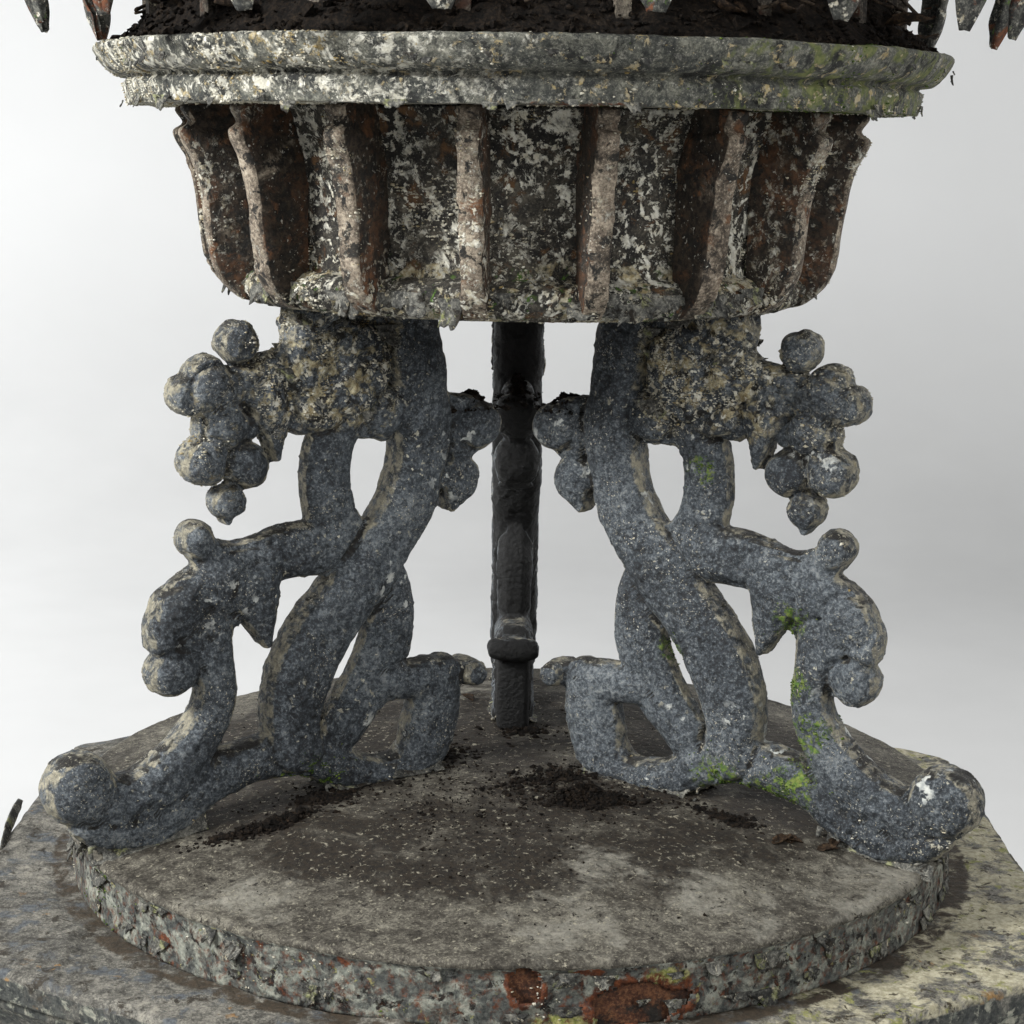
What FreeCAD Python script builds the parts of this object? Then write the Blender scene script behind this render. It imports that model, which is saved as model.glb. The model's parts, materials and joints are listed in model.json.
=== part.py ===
import FreeCAD, Part
import math
import os

# Three-dial street clock head under an openwork zinc crown. Millimetres, +Z up.
# Origin: centre of the underside of the mounting flange. A corner of the
# hexagonal head points to -Y, which is the front.
# Faces of the hexagon have their outward normals at 0, 60, 120 ... degrees.

os.makedirs("parts", exist_ok=True)

# ---- driving dimensions -------------------------------------------------
STEP_R = 500.0            # round step that carries the crown
SLAB_R = 674.0            # hexagonal roof slab, across corners / 2
CASE_R = 620.0            # hexagonal case, across corners / 2
CASE_Z0 = 140.0           # underside of the case frame
CASE_Z1 = 860.0           # top of the case frame
SLAB_TOP_Z = 960.0
STEP_H = 64.0
STEP_DOME = 45.0          # rise of the step top at its centre
CROWN_Z = SLAB_TOP_Z + STEP_H      # rim of the step: zero level of the crown
CAPITAL_Z = CROWN_Z + 572.0        # underside of the capital floor
CORNICE_Z = CROWN_Z + 770.0        # underside of the round cornice
DECK_Z = CROWN_Z + 820.0           # underside of the cornice deck
GALLERY_H = 212.0
DIAL_Z = 500.0                     # height of the dial centres
DIAL_AZIMUTHS = {"a": 60.0, "b": 180.0, "c": 300.0}
DOOR_AZIMUTH = 120.0
PANEL_AZIMUTHS = {"front": 240.0, "right": 0.0}
BRACKET_AZIMUTHS = {"rear": 90.0, "left": 210.0, "right": 330.0}
BRACKET_T = 46.0
RIB_COUNT = 18
RIB_PHASE = 2.3                    # azimuth of the first rib, degrees
COS30 = math.cos(math.radians(30.0))
RUN_GAP = 0.05                     # radial clearance of a running fit

V = FreeCAD.Vector
UP = V(0, 0, 1)


# ---- helpers ------------------------------------------------------------
def save(name, shape):
    """Write one node; a list becomes a group of separate solids."""
    if isinstance(shape, list):
        shape = Part.makeCompound(shape)
    shape.exportStep("parts/" + name + ".step")
    print(name, len(shape.Solids), shape.isValid(), round(shape.Volume / 1000.0, 1))


def cylinder(radius, z0, z1, x=0.0, y=0.0):
    return Part.makeCylinder(radius, z1 - z0, V(x, y, z0), UP)


def tube(outer, inner, z0, z1):
    return cylinder(outer, z0, z1).cut(cylinder(inner, z0 - 1, z1 + 1))


def box(x0, x1, y0, y1, z0, z1):
    return Part.makeBox(x1 - x0, y1 - y0, z1 - z0, V(x0, y0, z0))


def prism(points, z0, z1):
    """Extrude a plan outline from z0 to z1."""
    corners = [V(x, y, z0) for x, y in points]
    wire = Part.makePolygon(corners + [corners[0]])
    return Part.Face(wire).extrude(V(0, 0, z1 - z0))


def polar(radius, azimuth):
    a = math.radians(azimuth)
    return (radius * math.cos(a), radius * math.sin(a))


def hexagon(radius):
    return [polar(radius, 30.0 + 60.0 * k) for k in range(6)]


def hex_wire(radius, z):
    corners = [V(x, y, z) for x, y in hexagon(radius)]
    return Part.makePolygon(corners + [corners[0]])


def hex_loft(profile):
    """Solid with flat facets through hexagons given as (circumradius, z)."""
    return Part.makeLoft([hex_wire(r, z) for r, z in profile], True, True)


def revolve(profile):
    """Turn a closed (radius, z) outline about the Z axis."""
    points = [V(r, 0, z) for r, z in profile]
    face = Part.Face(Part.makePolygon(points + [points[0]]))
    return face.revolve(V(0, 0, 0), UP, 360)


def smooth_wire(pieces, to_point):
    """Closed wire of lines (two points) and splines (more points)."""
    edges = []
    for piece in pieces:
        points = [to_point(*p) for p in piece]
        if len(points) == 2:
            edges.append(Part.makeLine(points[0], points[1]))
        else:
            curve = Part.BSplineCurve()
            curve.interpolate(points)
            edges.append(curve.toShape())
    return Part.Wire(edges)


def turned(shape, azimuth):
    copy = shape.copy()
    copy.rotate(V(0, 0, 0), UP, azimuth)
    return copy


def face_placed(shape, azimuth, height=DIAL_Z):
    """From a face frame (x right, y up, z outward) to the row frame."""
    copy = shape.copy()
    copy.rotate(V(0, 0, 0), V(1, 0, 0), 90)
    copy.rotate(V(0, 0, 0), UP, azimuth + 90.0)
    copy.translate(V(0, 0, height))
    return copy


# ---- mounting flange, bowl and floor ------------------------------------
FLANGE_R = 250.0
FLANGE_T = 20.0
FLANGE_PCD = 420.0
FLANGE_HOLES = 8
FLANGE_HOLE_R = 9.0
HUB_R = 110.0
SHAFT_WAY_R = 60.0
FLOOR_Z0 = 128.0
FLOOR_R = 612.0


def mounting_flange():
    body = cylinder(FLANGE_R, 0, FLANGE_T)
    body = body.fuse(cylinder(HUB_R, FLANGE_T, FLOOR_Z0))
    web = prism([(HUB_R - 5, -7), (230, -7), (230, 7), (HUB_R - 5, 7)], FLANGE_T, 100)
    slope = Part.Face(Part.makePolygon([V(150, -20, 101), V(240, -20, 101),
                                        V(240, -20, 34), V(150, -20, 101)]))
    web = web.cut(slope.extrude(V(0, 40, 0)))
    for k in range(FLANGE_HOLES):
        body = body.fuse(turned(web, (k + 0.5) * 360.0 / FLANGE_HOLES))
    body = body.cut(cylinder(SHAFT_WAY_R, -1, FLOOR_Z0 + 1))
    for k in range(FLANGE_HOLES):
        x, y = polar(FLANGE_PCD / 2, k * 360.0 / FLANGE_HOLES)
        body = body.cut(cylinder(FLANGE_HOLE_R, -1, FLANGE_T + 1, x, y))
    return body.removeSplitter()


BOWL_T = 3.0
BOWL = [(272, FLANGE_T), (272, 26), (290, 30), (330, 34), (382, 42), (436, 55), (486, 70),
        (528, 86), (556, 100), (572, 108), (600, 112), (FLOOR_R, 118), (FLOOR_R, FLOOR_Z0)]


def soffit_bowl():
    inner = [(r - BOWL_T / COS30, z + 2.5) for r, z in BOWL[1:-1]]
    inner.append((FLOOR_R - BOWL_T / COS30, FLOOR_Z0 + 1))
    body = hex_loft(BOWL).cut(hex_loft(inner))
    return body.cut(cylinder(FLANGE_R - 12, FLANGE_T - 1, 60))


BUSH_R = 32.0
SHAFT_R = 10.0
SHAFT_END_R = 9.0                    # lower end that takes the column's coupling
SHAFT_END_L = 50.0


def floor_plate():
    body = prism(hexagon(FLOOR_R), FLOOR_Z0, CASE_Z0)
    return body.cut(cylinder(BUSH_R, FLOOR_Z0 - 1, CASE_Z0 + 1))


def floor_bush():
    body = cylinder(BUSH_R, FLOOR_Z0 - 6, CASE_Z0).fuse(cylinder(46, CASE_Z0, CASE_Z0 + 8))
    body = body.cut(cylinder(SHAFT_R + RUN_GAP, FLOOR_Z0 - 10, CASE_Z0 + 10))
    return body.removeSplitter()


# ---- case frame and panels ----------------------------------------------
POST_W = 38.0
POST_T = 34.0
RAIL_H = 40.0
FACE_S = CASE_R * COS30            # outer face of the posts, from the axis
PANEL_S1 = FACE_S - 8.0
PANEL_S0 = PANEL_S1 - 4.0
WINDOW_HALF = CASE_R / 2 - POST_W
WINDOW_HALF_H = (CASE_Z1 - CASE_Z0) / 2 - RAIL_H


def case_frame():
    solids = []
    inner_r = CASE_R - POST_T / COS30
    for k in range(6):
        a0 = 30.0 + 60.0 * k
        corner = V(*polar(CASE_R, a0), 0)
        ahead = V(*polar(CASE_R, a0 + 60.0), 0)
        back = V(*polar(CASE_R, a0 - 60.0), 0)
        n1 = V(*polar(1.0, a0 + 30.0), 0)
        n2 = V(*polar(1.0, a0 - 30.0), 0)
        p1 = corner + (ahead - corner) * (POST_W / CASE_R)
        p2 = corner + (back - corner) * (POST_W / CASE_R)
        inside = V(*polar(inner_r, a0), 0)
        plan = [p1, corner, p2, p2 - n2 * POST_T, inside, p1 - n1 * POST_T]
        solids.append(prism([(p.x, p.y) for p in plan], CASE_Z0 + RAIL_H, CASE_Z1 - RAIL_H))
        rail = [polar(CASE_R, a0), polar(CASE_R, a0 + 60.0),
                polar(inner_r, a0 + 60.0), polar(inner_r, a0)]
        solids.append(prism(rail, CASE_Z0, CASE_Z0 + RAIL_H))
        solids.append(prism(rail, CASE_Z1 - RAIL_H, CASE_Z1))
    return solids


def plain_panel():
    """Sheet with a raised field, in the face frame."""
    w = WINDOW_HALF
    h = WINDOW_HALF_H
    sheet = box(-w, w, -h, h, PANEL_S0, PANEL_S1)
    field = box(-w + 60, w - 60, -h + 60, h - 60, PANEL_S1, PANEL_S1 + 5)
    sunk = box(-w + 84, w - 84, -h + 84, h - 84, PANEL_S1, PANEL_S1 + 6)
    roundel = cylinder(110, PANEL_S1, PANEL_S1 + 8).cut(cylinder(84, PANEL_S1 - 1, PANEL_S1 + 9))
    boss = cylinder(34, PANEL_S1, PANEL_S1 + 10)
    return sheet.fuse([field.cut(sunk), roundel, boss]).removeSplitter()


# ---- dials --------------------------------------------------------------
DIAL_R = 250.0
SIGHT_R = 235.0
BEZEL_R = 264.0
GLASS_S = PANEL_S1 + 18.0
PLATE_T = 3.0
HOUR_HAND_S = PANEL_S1 + 2.0
MINUTE_HAND_S = PANEL_S1 + 9.0
HAND_T = 3.0
ARBOR_R = 6.0
PIPE_R = 9.0


def dial_panel():
    w = WINDOW_HALF
    h = WINDOW_HALF_H
    sheet = box(-w, w, -h, h, PANEL_S0, PANEL_S1)
    sheet = sheet.cut(cylinder(SIGHT_R, PANEL_S0 - 1, PANEL_S1 + 1))
    for sx in (-1, 1):
        for sy in (-1, 1):
            boss = cylinder(26, PANEL_S1, PANEL_S1 + 6, sx * (w - 44), sy * (h - 44))
            sheet = sheet.fuse(boss)
    return sheet.removeSplitter()


def dial_bezel():
    s = PANEL_S1
    profile = [(SIGHT_R, s), (BEZEL_R, s), (BEZEL_R, s + 6), (BEZEL_R - 4, s + 10),
               (BEZEL_R - 6, s + 16), (BEZEL_R - 12, s + 21), (BEZEL_R - 20, s + 24),
               (SIGHT_R - 6, s + 24), (SIGHT_R - 6, s + 22), (SIGHT_R, s + 22)]
    return revolve(profile)


def dial_glass():
    body = cylinder(SIGHT_R, GLASS_S, GLASS_S + 4)
    return body


def dial_plate():
    body = cylinder(DIAL_R, PANEL_S0 - PLATE_T, PANEL_S0)
    return body.cut(cylinder(PIPE_R + 1.5, PANEL_S0 - PLATE_T - 1, PANEL_S0 + 1))


def hand(length, tail, width, hub_r, bore_r, s):
    """Spade hand pointing to +y with a counterpoise tail."""
    def at(x, y):
        return V(x, y, s)
    half = width / 2
    spade = 0.70 * length
    right = [[(0, length), (half * 0.35, 0.86 * length)],
             [(half * 0.35, 0.86 * length), (half * 2.1, 0.78 * length), (half * 0.8, spade)],
             [(half * 0.8, spade), (half, 0)],
             [(half, 0), (half * 0.9, -0.55 * tail)],
             [(half * 0.9, -0.55 * tail), (half * 1.9, -0.85 * tail), (0, -tail)]]
    left = [[(-x, y) for x, y in reversed(piece)] for piece in reversed(right)]
    blade = Part.Face(smooth_wire(right + left, at)).extrude(V(0, 0, HAND_T))
    hub = cylinder(hub_r, s, s + HAND_T)
    return blade.fuse(hub).cut(cylinder(bore_r, s - 1, s + HAND_T + 1)).removeSplitter()


# ---- gears --------------------------------------------------------------
PRESSURE = math.radians(20.0)
CENTRE_DISTANCE = 48.0
CANNON_TEETH = 16
MINUTE_TEETH = 48
PINION_TEETH = 15
HOUR_TEETH = 60
BACKLASH = 0.12


def involute(angle):
    return math.tan(angle) - angle


def half_angle(radius, pitch_r, teeth):
    """Half the angle that a tooth fills at a radius, with backlash taken off."""
    base_r = pitch_r * math.cos(PRESSURE)
    slack = BACKLASH / pitch_r
    here = math.acos(min(1.0, base_r / max(radius, base_r)))
    return math.pi / (2 * teeth) - slack + involute(PRESSURE) - involute(here)


def spur_gear(teeth, module, s0, s1, start):
    """Spur gear about Z with a tooth centred on the azimuth start, in radians."""
    pitch_r = module * teeth / 2
    tip_r = pitch_r + 0.90 * module
    root_r = pitch_r - 1.20 * module
    base_r = pitch_r * math.cos(PRESSURE)
    low_r = max(root_r, base_r)
    radii = [low_r + (tip_r - low_r) * k / 4 for k in range(5)]
    corners = []
    for k in range(teeth):
        mid = start + 2 * math.pi * k / teeth
        foot = half_angle(low_r, pitch_r, teeth)
        rising = [(root_r, mid - foot)] if root_r < low_r else []
        rising += [(r, mid - half_angle(r, pitch_r, teeth)) for r in radii]
        falling = [(r, 2 * mid - a) for r, a in reversed(rising)]
        corners += [V(r * math.cos(a), r * math.sin(a), s0) for r, a in rising + falling]
    wire = Part.makePolygon(corners + [corners[0]])
    return Part.Face(wire).extrude(V(0, 0, s1 - s0))


BEVEL_TEETH = 24
BEVEL_MODULE = 3.0
BEVEL_FACE = 12.0
BEVEL_PITCH_R = BEVEL_TEETH * BEVEL_MODULE / 2
CONE_L = BEVEL_PITCH_R * math.sqrt(2.0)
DIAG = math.sqrt(0.5)
SMALL = (CONE_L - BEVEL_FACE) / CONE_L


def bevel_gear(offset, hub_len, hub_r):
    """1:1 bevel gear about Z, apex at the origin and the gear below it."""
    back_r = CONE_L                       # back-cone radius of a 45 degree pair
    virtual = BEVEL_TEETH / DIAG
    addendum = 0.85 * BEVEL_MODULE
    dedendum = 1.15 * BEVEL_MODULE
    levels = [-dedendum - 0.4, -0.9 * BEVEL_MODULE, -0.45 * BEVEL_MODULE, 0.0,
              0.45 * BEVEL_MODULE, addendum]
    side = []
    for y in levels:
        r = back_r + y
        a = half_angle(r, back_r, virtual)
        side.append((r * math.sin(a), r * math.cos(a) - back_r))
    outline = side + [(-x, y) for x, y in reversed(side)]
    root_h = (CONE_L + dedendum) * DIAG
    root_r = (CONE_L - dedendum) * DIAG
    body = revolve([(0, -SMALL * root_h), (SMALL * root_r, -SMALL * root_h), (root_r, -root_h),
                    (hub_r + 4, -root_h - 5), (hub_r, -root_h - 5),
                    (hub_r, -root_h - hub_len), (0, -root_h - hub_len)])
    teeth = []
    for k in range(BEVEL_TEETH):
        a = 2 * math.pi * (k + offset) / BEVEL_TEETH
        out = V(math.cos(a), math.sin(a), 0)
        along = out * DIAG - UP * DIAG
        normal = out * DIAG + UP * DIAG
        across = V(-math.sin(a), math.cos(a), 0)
        rings = []
        for scale in (1.0, SMALL):
            ring = [(along * CONE_L + normal * y + across * x) * scale for x, y in outline]
            rings.append(Part.makePolygon(ring + [ring[0]]))
        teeth.append(Part.makeLoft(rings, True, True))
    return body.fuse(teeth)


# ---- motion work behind each dial ---------------------------------------
MOTION_S0 = 455.0
MOTION_T = 5.0
CANNON_S = (466.0, 474.0)
MINUTE_S = (467.0, 473.0)
PINION_S = (474.0, 487.0)
HOUR_S = (478.0, 484.0)
STUD_R = 4.0
PILLAR_R = 5.0
CANNON_MODULE = 2 * CENTRE_DISTANCE / (CANNON_TEETH + MINUTE_TEETH)
PINION_MODULE = 2 * CENTRE_DISTANCE / (PINION_TEETH + HOUR_TEETH)
TO_WHEEL = math.pi / 2               # the minute wheel stands above the arbor


def motion_bracket():
    s1 = MOTION_S0 + MOTION_T
    body = box(-64, 64, -52, 108, MOTION_S0, s1)
    for sx in (-1, 1):
        for y in (-42, 98):
            body = body.fuse(cylinder(PILLAR_R, s1, PANEL_S0 - PLATE_T, sx * 54, y))
    body = body.fuse(cylinder(12, MOTION_S0 - 10, s1))
    body = body.fuse(cylinder(STUD_R, s1, PINION_S[1] + 3, 0, CENTRE_DISTANCE))
    body = body.cut(cylinder(ARBOR_R + RUN_GAP, MOTION_S0 - 11, s1 + 1))
    return body.removeSplitter()


def minute_arbor():
    gear = bevel_gear(0.5, 14.0, 16.0)
    gear.rotate(V(0, 0, 0), V(1, 0, 0), 180)
    shaft = cylinder(ARBOR_R, BEVEL_PITCH_R, MINUTE_HAND_S + HAND_T + 2)
    cannon = spur_gear(CANNON_TEETH, CANNON_MODULE, CANNON_S[0], CANNON_S[1], TO_WHEEL)
    return gear.fuse([shaft, cannon])


def minute_wheel():
    gap_down = -TO_WHEEL + math.pi / MINUTE_TEETH
    wheel = spur_gear(MINUTE_TEETH, CANNON_MODULE, MINUTE_S[0], MINUTE_S[1], gap_down)
    pinion = spur_gear(PINION_TEETH, PINION_MODULE, MINUTE_S[1], PINION_S[1], -TO_WHEEL)
    body = wheel.fuse(pinion)
    for k in range(5):
        x, y = polar(23.5, 18 + 72 * k)
        body = body.cut(cylinder(7.5, MINUTE_S[0] - 1, MINUTE_S[1] + 1, x, y))
    body = body.cut(cylinder(STUD_R + RUN_GAP, MINUTE_S[0] - 1, PINION_S[1] + 1))
    body.translate(V(0, CENTRE_DISTANCE, 0))
    return body


def hour_wheel():
    gap_up = TO_WHEEL + math.pi / HOUR_TEETH
    wheel = spur_gear(HOUR_TEETH, PINION_MODULE, HOUR_S[0], HOUR_S[1], gap_up)
    pipe = cylinder(PIPE_R, HOUR_S[0] - 2, HOUR_HAND_S + HAND_T + 1)
    body = wheel.fuse(pipe)
    for k in range(6):
        x, y = polar(24, 60 * k)
        body = body.cut(cylinder(8, HOUR_S[0] - 1, HOUR_S[1] + 1, x, y))
    return body.cut(cylinder(ARBOR_R + RUN_GAP, HOUR_S[0] - 3, HOUR_HAND_S + HAND_T + 2))


def dial_set(letter, azimuth):
    hour_turn = -305.0            # hands stand at ten past ten
    minute_turn = -60.0
    pieces = {
        "dial_panel": dial_panel(),
        "dial_bezel": dial_bezel(),
        "dial_glass": dial_glass(),
        "dial_plate": dial_plate(),
        "hour_hand": turned(hand(140, 46, 17, 20, PIPE_R, HOUR_HAND_S), hour_turn),
        "minute_hand": turned(hand(212, 66, 13, 16, ARBOR_R, MINUTE_HAND_S), minute_turn),
        "minute_arbor": minute_arbor(),
        "minute_wheel": minute_wheel(),
        "hour_wheel": hour_wheel(),
        "motion_bracket": motion_bracket(),
    }
    for name, shape in pieces.items():
        save(name + "_" + letter, face_placed(shape, azimuth))


# ---- central drive ------------------------------------------------------
FRAME_RING = (58.0, 84.0)
LEG_R = 8.0
LEG_RADIUS = 71.0
PLATE_Z = (412.0, 424.0)


def drive_shaft():
    top = DIAL_Z - SMALL * (CONE_L + 1.15 * BEVEL_MODULE) * DIAG
    body = cylinder(SHAFT_END_R, 6, 6 + SHAFT_END_L)
    body = body.fuse(cylinder(SHAFT_R, 6 + SHAFT_END_L, top))
    return body.fuse(cylinder(17, CASE_Z0 + 8.5, CASE_Z0 + 20)).removeSplitter()


def drive_bevel():
    gear = bevel_gear(0.0, 22.0, 20.0)
    gear.translate(V(0, 0, DIAL_Z))
    return gear.cut(cylinder(SHAFT_R, 380, DIAL_Z))


def centre_frame():
    body = tube(FRAME_RING[1], FRAME_RING[0], DIAL_Z - 14, DIAL_Z + 14)
    body = body.fuse(cylinder(FRAME_RING[1], PLATE_Z[0], PLATE_Z[1]))
    for azimuth in (0.0, 120.0, 240.0):
        x, y = polar(LEG_RADIUS, azimuth)
        body = body.fuse(cylinder(LEG_R, CASE_Z0, DIAL_Z - 13, x, y))
        body = body.fuse(cylinder(22, CASE_Z0, CASE_Z0 + 8, *polar(LEG_RADIUS + 8, azimuth)))
    body = body.cut(cylinder(SHAFT_R + RUN_GAP, PLATE_Z[0] - 1, PLATE_Z[1] + 1))
    body = body.cut(cylinder(46, CASE_Z0 - 1, CASE_Z0 + 9))
    for azimuth in DIAL_AZIMUTHS.values():
        x, y = polar(1.0, azimuth)
        way = Part.makeCylinder(ARBOR_R + RUN_GAP, 60, V(x * 40, y * 40, DIAL_Z), V(x, y, 0))
        body = body.cut(way)
    return body.removeSplitter()


# ---- access door --------------------------------------------------------
DOOR_GAP = 2.5
DOOR_T = 8.0
HINGE_X = -(WINDOW_HALF + 4.0)
HINGE_S = FACE_S + 7.5
HINGE_PIN_R = 3.0
KNUCKLE_R = 6.0
HINGE_Y = (-210.0, 210.0)
LATCH_X = 228.0
LATCH_R = 6.0


def door_leaf():
    w = WINDOW_HALF - DOOR_GAP
    h = WINDOW_HALF_H - DOOR_GAP
    s1 = PANEL_S0 + DOOR_T
    leaf = box(-w, w, -h, h, PANEL_S0, s1)
    leaf = leaf.cut(box(-w + 40, w - 70, -h + 40, h - 40, s1 - 4, s1 + 1))
    for y in HINGE_Y:
        plan = [(HINGE_X, HINGE_S + 3), (-w + 14, HINGE_S + 3), (-w + 14, s1 + 4),
                (-w + 110, s1 + 4), (-w + 110, s1), (-w + 5, s1),
                (-w + 5, HINGE_S - 3), (HINGE_X, HINGE_S - 3)]
        corners = [V(x, y - 11.5, s) for x, s in plan]
        strap = Part.Face(Part.makePolygon(corners + [corners[0]])).extrude(V(0, 23, 0))
        eye = Part.makeCylinder(KNUCKLE_R, 23, V(HINGE_X, y - 11.5, HINGE_S), V(0, 1, 0))
        pin = Part.makeCylinder(HINGE_PIN_R + RUN_GAP, 30, V(HINGE_X, y - 15, HINGE_S), V(0, 1, 0))
        leaf = leaf.fuse([strap, eye]).cut(pin)
    leaf = leaf.cut(cylinder(LATCH_R + RUN_GAP, PANEL_S0 - 1, s1 + 1, LATCH_X, 0))
    return leaf


def door_hinges():
    """Frame-side leaves, each with two knuckles and its pin."""
    solids = []
    for y in HINGE_Y:
        plate = box(HINGE_X - 30, HINGE_X + 2, y - 36, y + 36, FACE_S, FACE_S + 1.4)
        body = plate
        for y0 in (y - 36, y + 12):
            eye = Part.makeCylinder(KNUCKLE_R, 24, V(HINGE_X, y0, HINGE_S), V(0, 1, 0))
            root = box(HINGE_X - 14, HINGE_X, y0, y0 + 24, FACE_S, HINGE_S)
            body = body.fuse([eye, root])
        pin = Part.makeCylinder(HINGE_PIN_R, 78, V(HINGE_X, y - 39, HINGE_S), V(0, 1, 0))
        solids.append(body.fuse(pin))
    return solids


def door_latch():
    """Quarter-turn handle; its tongue stands upright, clear of the post, at rest."""
    s_out = PANEL_S0 + DOOR_T
    tongue_s = FACE_S - POST_T - 6.0
    spindle = cylinder(LATCH_R, tongue_s, s_out + 20, LATCH_X, 0)
    rose = cylinder(16, s_out + 0.3, s_out + 4, LATCH_X, 0)
    lever = box(LATCH_X - 7, LATCH_X + 7, -46, 46, s_out + 12, s_out + 22)
    for y in (-46, 46):
        lever = lever.fuse(cylinder(9, s_out + 11, s_out + 23, LATCH_X, y))
    tongue = box(LATCH_X - 9, LATCH_X + 9, -10, 60, tongue_s, tongue_s + 5)
    return spindle.fuse([rose, lever, tongue]).removeSplitter()


# ---- roof slab and step -------------------------------------------------
SKIN_T = 3.0
SLAB = [(628, CASE_Z1), (628, 872), (634, 878), (640, 890), (648, 902), (656, 911),
        (664, 916), (664, 926), (SLAB_R, 930), (SLAB_R, SLAB_TOP_Z)]


def slab_skin():
    outer = hex_loft(SLAB)
    hollow = [(r - SKIN_T / COS30, z) for r, z in SLAB[:-1]]
    hollow[0] = (hollow[0][0], CASE_Z1 - 1)
    hollow.append((SLAB_R - SKIN_T / COS30, SLAB_TOP_Z - SKIN_T))
    return outer.cut(hex_loft(hollow))


def roof_core():
    body = prism(hexagon(618), CASE_Z1, CASE_Z1 + 12)
    for k in range(6):
        rib = box(120, 520, -5, 5, CASE_Z1 + 11, SLAB_TOP_Z - SKIN_T)
        body = body.fuse(turned(rib, 60.0 * k))
    ring = tube(330, 320, CASE_Z1 + 11, SLAB_TOP_Z - SKIN_T)
    return body.fuse(ring)


DOME_BALL_R = (STEP_R ** 2 + STEP_DOME ** 2) / (2 * STEP_DOME)


def step_solid(shrink=0.0):
    """Round step with a gently domed top; shrink gives the inside of its skin."""
    drum = cylinder(STEP_R - shrink, SLAB_TOP_Z, CROWN_Z + STEP_DOME + 5)
    centre = CROWN_Z + STEP_DOME - DOME_BALL_R
    ball = Part.makeSphere(DOME_BALL_R - shrink, V(0, 0, centre))
    return drum.common(ball)


def step_skin():
    return step_solid().cut(step_solid(SKIN_T))


def step_core():
    wall = tube(STEP_R - SKIN_T - 0.2, STEP_R - 20, SLAB_TOP_Z, CROWN_Z - 4)
    body = wall
    for k in range(3):
        rib = box(60, STEP_R - 15, -14, 14, SLAB_TOP_Z, CROWN_Z - 4)
        body = body.fuse(turned(rib, 90 + 120 * k))
    hub = cylinder(80, SLAB_TOP_Z, CROWN_Z - 4)
    return body.fuse(hub).removeSplitter()


# ---- scroll brackets ----------------------------------------------------
# Outline in (radius from the axis, height above the step rim); each list runs
# from corner to corner, two points for a line and more for a smooth stretch.
BRACKET_TOP = CAPITAL_Z - CROWN_Z
BRACKET_OUTER = [
    [(282, BRACKET_TOP), (122, BRACKET_TOP)],
    [(122, BRACKET_TOP), (109, 533), (103, 500), (104, 474)],
    [(104, 474), (82, 463), (56, 458), (36, 446), (31, 426), (42, 407), (64, 402)],
    [(64, 402), (55, 380), (62, 358), (81, 343), (97, 334)],
    [(97, 334), (110, 345)],
    [(110, 345), (126, 312), (153, 278)],
    [(153, 278), (140, 246), (136, 212), (140, 184), (149, 168)],
    [(149, 168), (125, 164), (113, 158)],
    [(113, 158), (95, 168), (73, 163), (50, 147)],
    [(50, 147), (73, 122), (83, 92), (94, 62), (108, 44)],
    [(108, 44), (108, -30)],
    [(108, -30), (240, -30)],
    [(240, -30), (244, 50)],
    [(244, 50), (262, 58), (300, 56), (330, 46)],
    [(330, 46), (338, -30)],
    [(338, -30), (474, -30)],
    [(474, -30), (486, 8)],
    [(486, 8), (520, 30), (548, 52), (557, 84), (545, 112), (521, 118), (497, 104), (492, 84)],
    [(492, 84), (458, 82), (423, 98), (402, 124), (392, 150), (390, 168)],
    [(390, 168), (409, 171), (427, 163)],
    [(427, 163), (443, 172), (445, 194), (431, 216)],
    [(431, 216), (438, 236), (427, 262), (406, 284), (384, 298)],
    [(384, 298), (400, 312), (403, 332), (391, 346), (375, 342), (365, 330)],
    [(365, 330), (341, 322), (311, 326), (267, 338)],
    [(267, 338), (270, 372), (264, 404), (248, 434)],
    [(248, 434), (270, 444), (286, 460)],
    [(286, 460), (290, 424), (300, 402)],
    [(300, 402), (320, 414), (336, 436), (340, 452)],
    [(340, 452), (336, 430), (318, 424), (308, 404), (316, 384), (338, 376)],
    [(338, 376), (336, 356), (355, 342), (374, 354), (376, 376)],
    [(376, 376), (398, 384), (408, 404), (400, 426), (378, 434)],
    [(378, 434), (382, 446), (376, 454)],
    [(376, 454), (398, 462), (404, 484), (390, 504), (362, 510)],
    [(362, 510), (368, 530), (356, 552), (336, 556), (324, 542), (322, 520)],
    [(322, 520), (298, 524)],
    [(298, 524), (292, 540), (282, BRACKET_TOP)],
]
BRACKET_EYE = [
    [(163, 424), (188, 425), (206, 406), (215, 376), (211, 350), (197, 334)],
    [(197, 334), (179, 350), (166, 374), (161, 400), (163, 424)],
]
BRACKET_TRIANGLE = [
    [(243, 279), (279, 272), (298, 256), (306, 234), (312, 205)],
    [(312, 205), (335, 210), (361, 230)],
    [(361, 230), (352, 200), (348, 172), (354, 142), (373, 96)],
    [(373, 96), (339, 104), (307, 106)],
    [(307, 106), (312, 136), (309, 170), (292, 206), (243, 279)],
]
BRACKET_SLIT = [
    [(195, 226), (211, 208), (231, 180), (247, 146)],
    [(247, 146), (229, 158), (210, 184), (195, 226)],
]
BRACKET_BULB = [
    [(149, 100), (151, 120), (171, 126), (187, 108), (226, 82)],
    [(226, 82), (206, 66), (180, 62), (158, 74), (149, 100)],
]
BOLT_R = 6.0
BOLT_RADII = (165.0, 245.0)


def scroll_bracket(azimuth):
    half = BRACKET_T / 2

    def at(r, z):
        return V(r, -half, CROWN_Z + z)

    face = Part.Face([smooth_wire(pieces, at) for pieces in
                      (BRACKET_OUTER, BRACKET_EYE, BRACKET_TRIANGLE, BRACKET_SLIT, BRACKET_BULB)])
    face.validate()
    body = face.extrude(V(0, BRACKET_T, 0))
    body = body.cut(step_solid())
    for r in BOLT_RADII:
        body = body.cut(cylinder(BOLT_R, CAPITAL_Z - 40, CAPITAL_Z + 1, r, 0))
    return turned(body, azimuth)


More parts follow.
